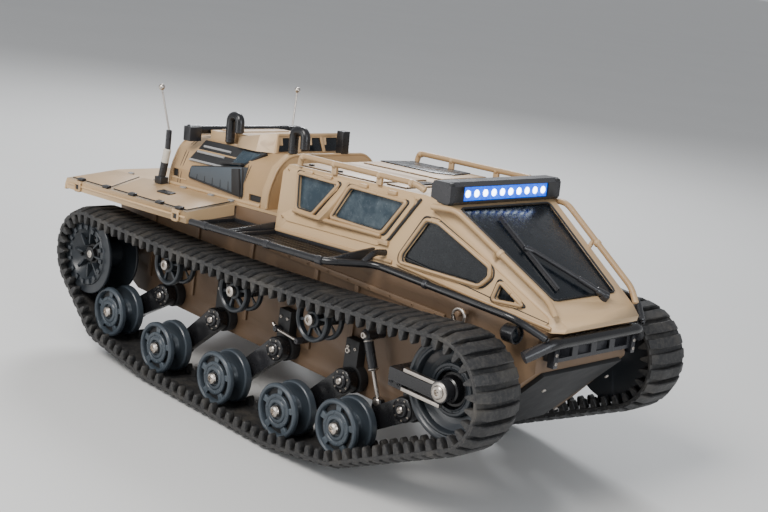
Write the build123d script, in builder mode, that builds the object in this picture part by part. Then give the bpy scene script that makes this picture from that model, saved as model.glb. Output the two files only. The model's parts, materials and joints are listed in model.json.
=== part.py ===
"""Tracked tank chassis, a 1:12 radio-controlled tracked vehicle with its body.

Millimetres. +X is the front, +Y the left side, +Z up, and the ground is z = 0.
The wheels stand level on the ground. The body sits nose-up on its suspension by BODY_RAKE
degrees, so body pieces are drawn level and turned by that angle when they are saved.
"""
from build123d import *
from math import acos, atan2, cos, hypot, pi, radians, sin
import os

os.makedirs("parts", exist_ok=True)

# Driving dimensions
HALF_WIDTH = 112.0
BELT_WIDTH = 41.0
BODY_RAKE = 3.6
BAND = 2.5
LUG = 4.0
LUG_AT_EDGE = 2.2
LUG_LENGTH = 6.9
LUG_TOP_LENGTH = 6.1
TOOTH = 7.0
TOOTH_ROOT = 5.5
TOOTH_TIP = 2.8
TOOTH_ROW = 6.0
PITCH = 9.62
ROLL_GAP = 0.35
SHAFT_GAP = 0.05

WHEEL_R = 20.0
WHEEL_X = (-165.9, -99.0, -25.4, 46.9, 106.4)
PIVOT_X = (-130.5, -63.6, 10.0, 82.3, 142.0)
PIVOT_Z = 58.0
LOW_Z = LUG + BAND + ROLL_GAP + WHEEL_R
WHEEL_Z = (36.0, LOW_Z, LOW_Z, LOW_Z, 36.0)

IDLER = (194.6, 93.0)
IDLER_R = 34.0
SPROCKET = (-196.3, 76.5)
SPROCKET_R = 32.5
SAG_R = 3350.0
ROLLER_R = 16.0
ROLLER_X = (-101.0, -20.0, 65.8)

BELT_IN = HALF_WIDTH - BELT_WIDTH
TUB_HALF = 60.0
TUB_WALL = 3.0
TUB_TOP = 149.5
BELLY = 47.0
BELLY_HOLES = (80.0, 64.0)
BELLY_HOLE_R = 1.6
CAB_LOW, CAB_HIGH, CAB_WALL = 138.5, 190.0, 2.4

PIN_R = 4.0
AXLE_R = 3.0
ARM_IN, ARM_OUT = 68.5, 77.5
WHEEL_IN, WHEEL_OUT = 80.0, 102.0

SIDES = {"right": -1, "left": 1}


def save(part, name):
    """Label a piece and write its STEP file."""
    part.label = name
    export_step(part, f"parts/{name}.step")


def save_raked(part, name):
    """Turn a level body piece to the body's rake and save it."""
    save(part.rotate(Axis.Y, -BODY_RAKE), name)


def save_sides(part, name):
    """Save a left-hand piece and its mirror image."""
    save(part, f"{name}_left")
    save(part.mirror(Plane.XZ), f"{name}_right")


def raked(x, z):
    """Ground-frame X and Z of a point given level in the body."""
    a = radians(BODY_RAKE)
    return (x * cos(a) - z * sin(a), x * sin(a) + z * cos(a))


RING_PIN = raked(178, 121.4)
RING_CENTRE = raked(178, 119.5)


def side(y):
    """Plane that looks along +Y at the height-and-length view, at width y."""
    return Plane(origin=(0, y, 0), x_dir=(1, 0, 0), z_dir=(0, -1, 0))


# Belt path, the inner rolling surface, clockwise seen from the right side
def tangent_line(a, ra, b, rb):
    """Ends of the line touching circles a and b on their left, going from a to b."""
    dx, dz = b[0] - a[0], b[1] - a[1]
    turn = atan2(dz, dx) + acos((ra - rb) / hypot(dx, dz))
    n = (cos(turn), sin(turn))
    return (a[0] + ra * n[0], a[1] + ra * n[1]), (b[0] + rb * n[0], b[1] + rb * n[1])


def sag_centre():
    """Centre of the wide arc in which the top run sags between sprocket and idler."""
    ra, rb = SAG_R + SPROCKET_R, SAG_R + IDLER_R
    dx, dz = IDLER[0] - SPROCKET[0], IDLER[1] - SPROCKET[1]
    gap = hypot(dx, dz)
    along = (ra * ra - rb * rb + gap * gap) / (2 * gap)
    rise = (ra * ra - along * along) ** 0.5
    ux, uz = dx / gap, dz / gap
    return (SPROCKET[0] + along * ux - rise * uz, SPROCKET[1] + along * uz + rise * ux)


SAG = sag_centre()


def belt_segments():
    """Lines and arcs of the belt path: ('line', start, end) or ('arc', centre, r, a0, a1)."""
    wheels = [(WHEEL_X[i], WHEEL_Z[i]) for i in (4, 3, 1, 0)]
    circles = [(IDLER, IDLER_R)] + [(w, WHEEL_R + ROLL_GAP) for w in wheels] + [(SPROCKET, SPROCKET_R)]
    lines = [tangent_line(*circles[i], *circles[i + 1]) for i in range(len(circles) - 1)]
    onto_idler = atan2(SAG[1] - IDLER[1], SAG[0] - IDLER[0])
    off_sprocket = atan2(SAG[1] - SPROCKET[1], SAG[0] - SPROCKET[0])
    found = []
    angle_in = onto_idler
    for (centre, radius), line in zip(circles, lines + [None]):
        if line:
            angle_out = atan2(line[0][1] - centre[1], line[0][0] - centre[0])
        else:
            angle_out = off_sprocket
        while angle_out > angle_in:
            angle_out -= 2 * pi
        while angle_out < angle_in - 2 * pi:
            angle_out += 2 * pi
        found.append(("arc", centre, radius, angle_in, angle_out))
        if line:
            found.append(("line", *line))
            angle_in = angle_out
    found.append(("arc", SAG, SAG_R, off_sprocket - pi, onto_idler - pi))
    return found


SEGMENTS = belt_segments()


def segment_length(seg):
    if seg[0] == "line":
        return hypot(seg[2][0] - seg[1][0], seg[2][1] - seg[1][1])
    return seg[2] * abs(seg[4] - seg[3])


BELT_LENGTH = sum(segment_length(seg) for seg in SEGMENTS)
LINKS = round(BELT_LENGTH / PITCH)
STEP = BELT_LENGTH / LINKS


def segment_point(seg, s, lift):
    """Point at distance s into a segment, lifted outward from the rolling surface."""
    if seg[0] == "line":
        (x0, z0), (x1, z1) = seg[1], seg[2]
        size = hypot(x1 - x0, z1 - z0)
        ux, uz = (x1 - x0) / size, (z1 - z0) / size
        return (x0 + ux * s - uz * lift, z0 + uz * s + ux * lift)
    centre, radius, a0, a1 = seg[1:]
    angle = a0 + (a1 - a0) * s / segment_length(seg)
    reach = radius + lift if a1 < a0 else radius - lift
    return (centre[0] + reach * cos(angle), centre[1] + reach * sin(angle))


def belt_point(s, lift):
    """Point at distance s along the belt, lifted outward."""
    s = s % BELT_LENGTH
    for seg in SEGMENTS:
        if s <= segment_length(seg):
            return segment_point(seg, s, lift)
        s -= segment_length(seg)
    return segment_point(SEGMENTS[-1], segment_length(SEGMENTS[-1]), lift)


def belt_outer(height):
    """Closed outline of band and lugs, with one block a link."""
    points = []
    for i in range(LINKS):
        mid = i * STEP
        points.append(belt_point(mid - LUG_LENGTH / 2, BAND))
        points.append(belt_point(mid - LUG_TOP_LENGTH / 2, BAND + height))
        points.append(belt_point(mid + LUG_TOP_LENGTH / 2, BAND + height))
        points.append(belt_point(mid + LUG_LENGTH / 2, BAND))
    return points


def belt_teeth():
    """Closed outline of the inner surface with one drive tooth a link."""
    points = []
    for i in range(LINKS):
        mid = i * STEP
        points.append(belt_point(mid - TOOTH_ROOT / 2, 0))
        points.append(belt_point(mid - TOOTH_TIP / 2, -TOOTH + 1))
        points.append(belt_point(mid, -TOOTH))
        points.append(belt_point(mid + TOOTH_TIP / 2, -TOOTH + 1))
        points.append(belt_point(mid + TOOTH_ROOT / 2, 0))
    return points


def belt_layer(y0, y1, lug, toothed):
    """One slice of the belt across its width."""
    with BuildPart() as layer:
        with BuildSketch(side(y0)):
            with BuildLine():
                Polyline(*belt_outer(lug), close=True)
            make_face()
            with BuildLine() as inside:
                if toothed:
                    Polyline(*belt_teeth(), close=True)
                else:
                    for seg in SEGMENTS:
                        size = segment_length(seg)
                        first, last = segment_point(seg, 0, 0), segment_point(seg, size, 0)
                        if seg[0] == "line":
                            Line(first, last)
                        else:
                            ThreePointArc(first, segment_point(seg, size / 2, 0), last)
            make_face(inside.line, mode=Mode.SUBTRACT)
        extrude(amount=y0 - y1)
    return layer.part


def make_belt():
    """Rubber belt: toothed edge rows, full-height lugs in the middle, lower lugs at both edges."""
    inner, outer = BELT_IN + TOOTH_ROW, HALF_WIDTH - TOOTH_ROW
    with BuildPart() as track:
        add(belt_layer(BELT_IN, inner, LUG_AT_EDGE, True))
        add(belt_layer(inner, outer, LUG, False))
        add(belt_layer(outer, HALF_WIDTH, LUG_AT_EDGE, True))
    save_sides(track.part, "track")


def turned(points):
    """Solid turned about the Y axis, from (radius, y) points."""
    with BuildPart() as disc:
        with BuildSketch(Plane.XY):
            with BuildLine():
                Polyline(*points, close=True)
            make_face()
        revolve(axis=Axis.Y)
    return disc.part


def make_road_wheel(centre):
    """Double-disc road wheel with a dished, spoked face and its axle bore."""
    bore = AXLE_R + SHAFT_GAP
    profile = [(bore, WHEEL_IN), (8, WHEEL_IN), (8, 82), (17, 82), (17, WHEEL_IN), (WHEEL_R, WHEEL_IN),
               (WHEEL_R, 87), (16, 87), (16, 85), (8, 85), (8, 98), (16, 98), (16, 97), (WHEEL_R, 97),
               (WHEEL_R, WHEEL_OUT), (17, WHEEL_OUT), (16, 100.5), (9, 100.5), (8.2, WHEEL_OUT),
               (bore, WHEEL_OUT)]
    with BuildPart() as wheel:
        add(turned(profile))
        with BuildSketch(side(WHEEL_OUT + 1)):
            with PolarLocations(12.6, 6):
                Circle(2.6)
        extrude(amount=7, mode=Mode.SUBTRACT)
    return wheel.part.moved(Location((centre[0], 0, centre[1])))


def make_arm(pivot, axle):
    """Trailing arm with its pivot pin through the hull wall and the wheel's stub axle."""
    with BuildPart() as arm:
        with BuildSketch(side(ARM_IN)):
            with Locations(pivot):
                Circle(9)
            with Locations(axle):
                Circle(8)
            with BuildLine():
                one = tangent_line(pivot, 8, axle, 6.5)
                two = tangent_line(axle, 6.5, pivot, 8)
                Polyline(one[0], one[1], two[0], two[1], close=True)
            make_face()
        extrude(amount=ARM_IN - ARM_OUT)
        with BuildSketch(side(52)):
            with Locations(pivot):
                Circle(PIN_R)
        extrude(amount=52 - ARM_IN)
        with BuildSketch(side(ARM_OUT)):
            with Locations(pivot):
                Circle(5.5)
        extrude(amount=-1.5)
        with BuildSketch(side(ARM_OUT)):
            with Locations(axle):
                Circle(AXLE_R)
        extrude(amount=ARM_OUT - 102.4)
        with BuildSketch(side(102.4)):
            with Locations(axle):
                RegularPolygon(4.4, 6)
        extrude(amount=-2.2)
    return arm.part


def make_sprocket():
    """Drive sprocket: two carrying rings, a dished face with ribs, a hex hub and the drive shaft."""
    rim = SPROCKET_R - ROLL_GAP
    profile = [(0, 50), (PIN_R, 50), (PIN_R, 77.3), (rim, 77.3), (rim, 79.6), (12, 79.6), (12, 92),
               (23.5, 99.4), (23.5, 102.7), (rim, 102.7), (rim, 105.5), (24.6, 105.5), (24.6, 107),
               (20.5, 107), (19, 104), (9, 97), (9, 100), (0, 100)]
    with BuildPart() as sprocket:
        add(turned(profile))
        with BuildSketch(side(106)):
            with PolarLocations(22.6, 16):
                Rectangle(4.2, 3)
        extrude(amount=-2.6)
        with BuildSketch(side(100)):
            RegularPolygon(7, 6)
        extrude(amount=-4)
    save_sides(sprocket.part.moved(Location((SPROCKET[0], 0, SPROCKET[1]))), "drive_sprocket")


def make_idler():
    """Front idler: a two-flange drum with a deep stepped recess, running on the tensioner's axle."""
    rim = IDLER_R - ROLL_GAP
    bore = PIN_R + SHAFT_GAP
    profile = [(bore, 78), (12, 78), (12, 80), (29, 80), (29, 78), (rim, 78), (rim, 84), (30, 84),
               (30, 92), (rim, 92), (rim, 98), (27, 98), (25.5, 94), (20, 90), (17, 90), (16, 94),
               (13, 94), (12, 91), (8, 91), (7.5, 97), (bore, 97)]
    with BuildPart() as idler:
        add(turned(profile))
        with BuildSketch(side(98)):
            with PolarLocations(14.5, 12):
                Circle(0.9)
        extrude(amount=6, mode=Mode.SUBTRACT)
    save_sides(idler.part.moved(Location((IDLER[0], 0, IDLER[1]))), "front_idler")


def roller_centre(x):
    """Centre of a return roller that just clears the sagging top run."""
    reach = SAG_R + ROLL_GAP + ROLLER_R
    return (x, SAG[1] - (reach * reach - (x - SAG[0]) ** 2) ** 0.5)


ROLLERS = [roller_centre(x) for x in ROLLER_X]


def make_roller(centre):
    """Return roller: two thin discs on a hub, the outer one with six spokes."""
    bore = AXLE_R + SHAFT_GAP
    profile = [(bore, 80), (ROLLER_R, 80), (ROLLER_R, 84), (7, 84), (7, 92), (ROLLER_R, 92),
               (ROLLER_R, 97), (13, 97), (12.4, 95), (7, 95), (6, 97.5), (bore, 97.5)]
    with BuildPart() as roller:
        add(turned(profile))
        with BuildSketch(side(98)):
            with PolarLocations(9.8, 6):
                Rectangle(4, 5)
        extrude(amount=7, mode=Mode.SUBTRACT)
    return roller.part.moved(Location((centre[0], 0, centre[1])))


def make_running_gear():
    make_belt()
    make_sprocket()
    make_idler()
    for i in range(len(WHEEL_X)):
        axle, pivot = (WHEEL_X[i], WHEEL_Z[i]), (PIVOT_X[i], PIVOT_Z)
        save_sides(make_road_wheel(axle), f"road_wheel_{i + 1}")
        save_sides(make_arm(pivot, axle), f"swing_arm_{i + 1}")
    for i, centre in enumerate(ROLLERS):
        save_sides(make_roller(centre), f"return_roller_{i + 1}")


def make_roller_axles():
    """Steel bolts from the hull walls that carry the return rollers."""
    with BuildPart() as axles:
        for sign in SIDES.values():
            with BuildSketch(side(sign * TUB_HALF)):
                with Locations(*ROLLERS):
                    Circle(AXLE_R)
            extrude(amount=-sign * (98 - TUB_HALF))
            with BuildSketch(side(sign * 98)):
                with Locations(*ROLLERS):
                    RegularPolygon(4.2, 6)
            extrude(amount=-sign * 2)
            with BuildSketch(side(sign * TUB_HALF)):
                with Locations(*ROLLERS):
                    Circle(6)
            extrude(amount=-sign * 19)
    save(axles.part, "roller_axles")


def make_tensioners():
    """Idler tensioner: bracket out from the hull, fork outside the idler, idler axle with its bolt."""
    x, z = IDLER
    with BuildPart() as tensioner:
        with BuildSketch(side(TUB_HALF)):
            with Locations((152, z - 6)):
                Rectangle(12, 13)
        extrude(amount=TUB_HALF - 105)
        with BuildSketch(side(99)):
            with Locations(((x + 146) / 2, z - 3)):
                Rectangle(x - 146, 9)
        extrude(amount=-6)
        with BuildSketch(side(100)):
            with Locations(((x + 162) / 2, z + 3.2), ((x + 160) / 2, z - 9.2)):
                Rectangle(x - 161, 3.4)
        extrude(amount=-4)
        with BuildSketch(side(97.6)):
            with Locations((x, z)):
                Circle(7)
        extrude(amount=-7.4)
        with BuildSketch(side(TUB_HALF)):
            with Locations((x, z)):
                Circle(PIN_R)
        extrude(amount=TUB_HALF - 105)
        with BuildSketch(side(105)):
            with Locations((x, z)):
                Circle(4.4)
        extrude(amount=-2)
        mirror(about=Plane.XZ)
    save(tensioner.part, "idler_tensioners")


def make_towers():
    """Black pivot housings bolted to the hull walls, one behind each swing arm."""
    with BuildPart() as towers:
        for x in PIVOT_X:
            with BuildSketch(side(TUB_HALF)):
                with Locations((x, PIVOT_Z)):
                    Circle(10)
                with Locations((x - 3, PIVOT_Z + 13)):
                    Rectangle(13, 30)
            extrude(amount=TUB_HALF - 67.5)
            with BuildSketch(side(67.5)):
                with Locations((x, PIVOT_Z)):
                    Circle(PIN_R + SHAFT_GAP)
            extrude(amount=7.5, mode=Mode.SUBTRACT)
        mirror(about=Plane.XZ)
    save(towers.part, "suspension_towers")


def tub_volume(inset):
    """Hull volume from its side and plan outlines, both moved inward by inset."""
    top = [(-214, TUB_TOP - 3), (-205, TUB_TOP), (112, TUB_TOP), (116, CAB_LOW), (230, 118.4), (229, 112),
           (229, 92)]
    outline = [raked(*p) for p in top] + [(168, BELLY), (-186, BELLY), (-216, 62)]
    nose = [(-240, TUB_HALF), (180, TUB_HALF), (240, 44)]
    with BuildPart() as volume:
        with BuildSketch(side(TUB_HALF)):
            with BuildLine():
                Polyline(*outline, close=True)
            make_face()
            offset(amount=-inset, kind=Kind.INTERSECTION, mode=Mode.REPLACE)
        extrude(amount=2 * TUB_HALF)
        with BuildSketch(Plane.XY):
            with BuildLine():
                Polyline(*nose, *[(x, -y) for x, y in reversed(nose)], close=True)
            make_face()
            offset(amount=-inset, kind=Kind.INTERSECTION, mode=Mode.REPLACE)
        extrude(amount=200, mode=Mode.INTERSECT)
    return volume.part


def make_hull():
    """Lower hull: an open tub with bores for arm pins and drive shafts, and belly mounting holes."""
    with BuildPart() as hull:
        add(tub_volume(0))
        add(tub_volume(TUB_WALL), mode=Mode.SUBTRACT)
        with BuildSketch(side(TUB_HALF - TUB_WALL)):
            with BuildLine():
                Polyline(raked(-198, 140), raked(-198, 160), raked(108, 160), raked(108, 140), close=True)
            make_face()
        extrude(amount=2 * (TUB_HALF - TUB_WALL), mode=Mode.SUBTRACT)
        with BuildSketch(side(TUB_HALF)):
            with Locations(*[(x, PIVOT_Z) for x in PIVOT_X]):
                Circle(PIN_R + SHAFT_GAP)
            with Locations(SPROCKET):
                Circle(PIN_R + SHAFT_GAP)
        extrude(amount=2 * TUB_HALF, mode=Mode.SUBTRACT)
        with BuildSketch(Plane.XY.offset(BELLY - 1)):
            with GridLocations(BELLY_HOLES[0], BELLY_HOLES[1], 2, 2):
                Circle(BELLY_HOLE_R)
        extrude(amount=TUB_WALL + 2, mode=Mode.SUBTRACT)
        for sign in SIDES.values():
            with BuildSketch(side(sign * (TUB_HALF - 1))):
                with Locations(RING_PIN):
                    Circle(1.8)
            extrude(amount=-sign * 11)
    save(hull.part, "hull_tub")


def make_drive():
    """Gearmotors on the sprocket shafts, battery pack and control board inside the tub."""
    x, z = SPROCKET
    with BuildPart() as motors:
        with BuildSketch(side(57)):
            with Locations((x + 13, z)):
                Rectangle(40, 28)
            with Locations((x, z)):
                Circle(PIN_R + SHAFT_GAP, mode=Mode.SUBTRACT)
        extrude(amount=16)
        with BuildSketch(side(41)):
            with Locations((x + 22, z)):
                Circle(13)
        extrude(amount=38)
        mirror(about=Plane.XZ)
    save(motors.part, "drive_motors")
    with BuildPart() as battery:
        with Locations((20, 0, 69)):
            Box(140, 46, 26)
        fillet(battery.edges().filter_by(Axis.X), 5)
        with Locations((20, 0, 53)):
            Box(120, 40, 6)
    save(battery.part, "battery_pack")
    with BuildPart() as board:
        with Locations((-90, 0, 62)):
            Box(60, 44, 1.6)
        for px, py, width, height in ((-104, 0, 18, 5), (-78, 10, 14, 4), (-78, -12, 12, 8)):
            with Locations((px, py, 62.8 + height / 2)):
                Box(width, 14, height)
        with Locations((-114, 16, 56), (-114, -16, 56), (-66, 16, 56), (-66, -16, 56)):
            Cylinder(2.5, 12)
    save(board.part, "control_board")



# Body pieces, drawn level
REAR_WALL = ((0, 64.5, 140), (100, 64.5, 140), (0, 60, 190))
FRONT_WALL = ((150, 56, 186), (118, 64.5, 140), (241.5, 39.2, 121.3))
SCREEN_TOP, SCREEN_FOOT = (148.4, 185.8), (231.5, 133.0)
SCREEN_LENGTH = hypot(SCREEN_FOOT[0] - SCREEN_TOP[0], SCREEN_TOP[1] - SCREEN_FOOT[1])
SCREEN = Plane(origin=(SCREEN_TOP[0], 0, SCREEN_TOP[1]), x_dir=(0, 1, 0),
               z_dir=(SCREEN_TOP[1] - SCREEN_FOOT[1], 0, SCREEN_FOOT[0] - SCREEN_TOP[0]))
SCREEN_GLASS = ((-47, -4), (47, -4), (33, 7 - SCREEN_LENGTH), (-33, 7 - SCREEN_LENGTH))
HEADLIGHT = (62.0, 117.5)
INTAKE = ((-125, 161.5), (-123, 170), (-61, 178.5), (-58, 156.5))
PANEL_LIFT, FRAME_LIFT, FRAME_WIDTH = 0.7, 2.0, 2.6
GLASS = 1.6
WIPER_FOOT = (15.0, 3.0 - SCREEN_LENGTH)
DOOR_WINDOWS = (((10, 184.5), (50, 183.5), (28, 160.5), (13, 161)),
                ((64.5, 183.5), (116, 182.5), (98, 160), (50, 161)))
FRONT_WINDOWS = (((137, 173), (146, 172), (184, 152), (184.5, 146), (178, 139.5), (122, 143.5),
                  (122, 148.5)),
                 ((195, 142.5), (210, 132.4), (192, 132.4)))
DOOR_PANEL = ((-7, 188), (-7, 154), (2, 149.5), (96, 149.5), (104, 155), (128, 188))
FRONT_PANEL = ((136, 183), (118, 151), (118, 140.5), (200, 126), (226, 121.5), (232, 126))
DECK_REAR, DECK_FRONT = -224.0, -61.0
DECK_HALF, DECK_INNER = 107.0, 57.5
DECK_SKIRT, DECK_EDGE, DECK_TOP, DECK_WALL = 138.0, 146.5, 152.0, 2.2
COVER_REAR, COVER_FRONT, COVER_HALF, COVER_TOP = -152.0, -27.0, 57.5, 191.0
TUBE_R = 2.5
STEP_Z, STEP_Y = 140.0, 105.0


def wall_plane(points, sign=1):
    """Plane of the left wall through three points, or of its mirror image, facing outward."""
    a, b, c = [Vector(x, sign * y, z) for x, y, z in points]
    normal = (b - a).cross(c - a).normalized()
    if normal.Y * sign < 0:
        normal = -normal
    return Plane(origin=a, x_dir=Vector(normal.Y, -normal.X, 0).normalized(), z_dir=normal)


def on_wall(plane, x, z):
    """Local coordinates of the point of a wall plane that has this X and Z."""
    n, o = plane.z_dir, plane.origin
    y = o.Y - (n.X * (x - o.X) + n.Z * (z - o.Z)) / n.Y
    local = plane.to_local_coords(Vector(x, y, z))
    return (local.X, local.Y)


def wall_block(points, outline, low, high, grow=0.0, radius=1.8):
    """Rounded block on the left wall and its mirror image, from low to high along the wall's normal."""
    plane = wall_plane(points)
    with BuildPart() as block:
        with BuildSketch(plane.offset(low)) as flat:
            with BuildLine():
                Polyline(*[on_wall(plane, *p) for p in outline], close=True)
            make_face()
            if grow:
                offset(amount=grow, kind=Kind.INTERSECTION)
            fillet(flat.vertices(), radius)
        extrude(amount=high - low)
        mirror(about=Plane.XZ)
    return block.part


def tube(points, radius, bends):
    """Round tube along straight runs joined by arcs."""
    with BuildPart() as pipe:
        with BuildLine() as path:
            FilletPolyline(*points, radius=bends) if len(points) > 2 else Line(*points)
        with BuildSketch(Plane(origin=path.wire() @ 0, z_dir=path.wire() % 0)):
            Circle(radius)
        sweep(path=path.wire())
    return pipe.part


def make_cab():
    """Cab shell, open underneath, with raised door panels and window frames."""
    outline = [(-10, CAB_LOW), (118, CAB_LOW), (232, 118.5), (241, 120), (242.5, 124), (236, 130.2),
               SCREEN_TOP, (133, CAB_HIGH), (-4, CAB_HIGH), (-10, 184)]
    walls = [wall_plane(w, sign) for w in (REAR_WALL, FRONT_WALL) for sign in SIDES.values()]
    with BuildPart() as cab:
        with BuildSketch(side(80)):
            with BuildLine():
                Polyline(*outline, close=True)
            make_face()
        extrude(amount=160)
        for wall in walls:
            split(bisect_by=wall, keep=Keep.BOTTOM)
        under = [f for f in cab.faces() if f.normal_at().Z < -0.9]
        offset(amount=-CAB_WALL, openings=under)
        with Locations((-9, 0, (CAB_LOW + DECK_TOP) / 2)):
            Box(4, 2 * TUB_HALF, DECK_TOP - CAB_LOW, mode=Mode.SUBTRACT)
        for sign in SIDES.values():
            with BuildSketch(Plane.XY.offset(CAB_LOW)):
                with Locations((48, sign * (TUB_HALF + 1.4))):
                    Rectangle(110, 2.8)
            extrude(amount=3)
        add(wall_block(REAR_WALL, DOOR_PANEL, -1, PANEL_LIFT, radius=4))
        add(wall_block(FRONT_WALL, FRONT_PANEL, -1, PANEL_LIFT, radius=3))
        for wall, windows in ((REAR_WALL, DOOR_WINDOWS), (FRONT_WALL, FRONT_WINDOWS)):
            for window in windows:
                add(wall_block(wall, window, -1, FRAME_LIFT, grow=FRAME_WIDTH, radius=3.6))
            for window in windows:
                add(wall_block(wall, window, -9, 9), mode=Mode.SUBTRACT)
        with BuildSketch(SCREEN.offset(-9)):
            with BuildLine():
                Polyline(*SCREEN_GLASS, close=True)
            make_face()
        extrude(amount=18, mode=Mode.SUBTRACT)
        with BuildSketch(SCREEN.offset(-4)):
            with Locations(WIPER_FOOT):
                Circle(1.2 + SHAFT_GAP)
        extrude(amount=8, mode=Mode.SUBTRACT)
    save_raked(cab.part, "cab_shell")


def make_glass():
    """Side panes and the windshield, each filling its opening."""
    with BuildPart() as panes:
        for wall, windows in ((REAR_WALL, DOOR_WINDOWS), (FRONT_WALL, FRONT_WINDOWS)):
            for window in windows:
                add(wall_block(wall, window, -GLASS - 0.4, -0.4))
    save_raked(panes.part, "side_windows")
    with BuildPart() as screen:
        with BuildSketch(SCREEN.offset(-GLASS - 0.5)):
            with BuildLine():
                Polyline(*SCREEN_GLASS, close=True)
            make_face()
        extrude(amount=GLASS)
    save_raked(screen.part, "windshield")


def make_wiper():
    """Windshield wiper: pivot stub, arm and blade, turning about the glass normal."""
    across, up = WIPER_FOOT
    with BuildPart() as wiper:
        with BuildSketch(SCREEN.offset(-3.2)):
            with Locations(WIPER_FOOT):
                Circle(1.2)
        extrude(amount=4)
        with BuildSketch(SCREEN.offset(0.3)):
            with Locations(WIPER_FOOT):
                Circle(3.2)
        extrude(amount=4)
        with BuildSketch(SCREEN.offset(2)):
            with BuildLine():
                Polyline((across - 1.6, up), (across + 1.6, up), (-18, -46), (-21.4, -46), close=True)
            make_face()
        extrude(amount=1.8)
        with BuildSketch(SCREEN.offset(0.6)):
            with BuildLine():
                Polyline((-17, -16), (-19.6, -16), (-24, -84), (-21.4, -84), close=True)
            make_face()
        extrude(amount=1.6)
    save_raked(wiper.part, "wiper")


def cover_outline(grow=0.0):
    """Half of the arched section of the engine cover and its mirror image, as points."""
    half = [(COVER_HALF + grow, DECK_TOP), (56.5 + grow, 166), (49 + grow, 183), (38, COVER_TOP + grow)]
    return half + [(-y, z) for y, z in reversed(half)]


def arch_face(x, grow):
    """Arched section at X, rounded at the shoulders."""
    with BuildSketch(Plane.YZ.offset(x)) as arch:
        with BuildLine():
            Polyline(*cover_outline(grow), close=True)
        make_face()
        fillet([v for v in arch.vertices() if v.Z > DECK_TOP + 1], 11)
    return arch.sketch


def make_engine_cover():
    """Arched engine cover with a raised front rim, side intakes, roof vents and slots."""
    rear, wall = COVER_REAR, 2.4
    with BuildPart() as cover:
        extrude(arch_face(rear, 0), amount=COVER_FRONT - rear)
        extrude(arch_face(COVER_FRONT - 8, 1.2), amount=8)
        extrude(arch_face(rear + wall, -wall), amount=COVER_FRONT - rear - 2 * wall, mode=Mode.SUBTRACT)
        with BuildSketch(side(80)):
            with BuildLine():
                Polyline(*INTAKE, close=True)
            make_face()
            with Locations((-145, 162)):
                Rectangle(7, 6)
            with Locations((-44, 157.5)):
                Rectangle(14, 5)
        extrude(amount=160, mode=Mode.SUBTRACT)
    save_raked(cover.part, "engine_cover")


def make_intakes():
    """Wedge-shaped mesh intakes set in the sides of the engine cover."""
    with BuildPart() as intakes:
        with BuildSketch(side(58.5)):
            with BuildLine():
                Polyline(*INTAKE, close=True)
            make_face()
        extrude(amount=8)
        mirror(about=Plane.XZ)
    save_raked(intakes.part, "side_intakes")


def make_deck():
    """Rear deck over both belts with its skirts, rear wall and a front tongue under the cover."""
    outer = [(DECK_HALF, DECK_SKIRT), (DECK_HALF, DECK_EDGE), (DECK_INNER, DECK_TOP)]
    low = DECK_TOP - DECK_WALL
    inner = [(DECK_INNER, low), (DECK_HALF - DECK_WALL, DECK_EDGE - DECK_WALL),
             (DECK_HALF - DECK_WALL, DECK_SKIRT)]
    section = [(-y, z) for y, z in outer] + outer[::-1] + inner[::-1] + [(-y, z) for y, z in inner]
    with BuildPart() as deck:
        with BuildSketch(Plane.YZ.offset(DECK_REAR)):
            with BuildLine():
                Polyline(*section, close=True)
            make_face()
        extrude(amount=DECK_FRONT - DECK_REAR)
        for x in (DECK_REAR, DECK_FRONT - DECK_WALL):
            for sign in SIDES.values():
                with BuildSketch(Plane.YZ.offset(x)):
                    with BuildLine():
                        Polyline((sign * DECK_HALF, DECK_SKIRT), (sign * DECK_HALF, DECK_EDGE),
                                 (sign * 62, DECK_TOP - 0.5), (sign * 62, 142), close=True)
                    make_face()
                extrude(amount=DECK_WALL)
        with Locations((-40, 0, DECK_TOP - DECK_WALL / 2)):
            Box(60, 2 * TUB_HALF, DECK_WALL)
        with BuildSketch(Plane.XZ.offset(-DECK_HALF)):
            with BuildLine():
                Polyline((DECK_REAR, DECK_EDGE), (-226.2, 142), (-226.9, 137), (-225, 137), (-224, 141),
                         close=True)
            make_face()
        extrude(amount=2 * DECK_HALF)
    save_raked(deck.part, "rear_deck")


def make_roof_box():
    """Raised lookout on the engine cover: slanted front, roof falling rearward, four window openings."""
    plan = [(-48, 37), (-60, 46), (-83, 46), (-83, -46), (-60, -46), (-48, -37)]
    with BuildPart() as box:
        with BuildSketch(Plane.XY.offset(COVER_TOP)):
            with BuildLine():
                Polyline(*plan, close=True)
            make_face()
        with BuildSketch(Plane.XY.offset(206)):
            with BuildLine():
                Polyline(*[(x - 3, y * 0.86) for x, y in plan], close=True)
            make_face()
        loft()
        split(bisect_by=Plane(origin=(-52, 0, 205.5), z_dir=(-0.2, 0, 1)), keep=Keep.BOTTOM)
        with BuildSketch(Plane.XY.offset(COVER_TOP)):
            with Locations((-116.5, 0)):
                Rectangle(20, 76)
            with Locations((-94, 0)):
                Rectangle(32, 56)
        extrude(amount=7.5)
        with BuildSketch(Plane.YZ.offset(-54)):
            with Locations((-22.5, 197.8), (-7.5, 197.8), (7.5, 197.8), (22.5, 197.8)):
                Rectangle(12, 9)
        extrude(amount=10, mode=Mode.SUBTRACT)
    save_raked(box.part, "roof_lookout")


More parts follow.
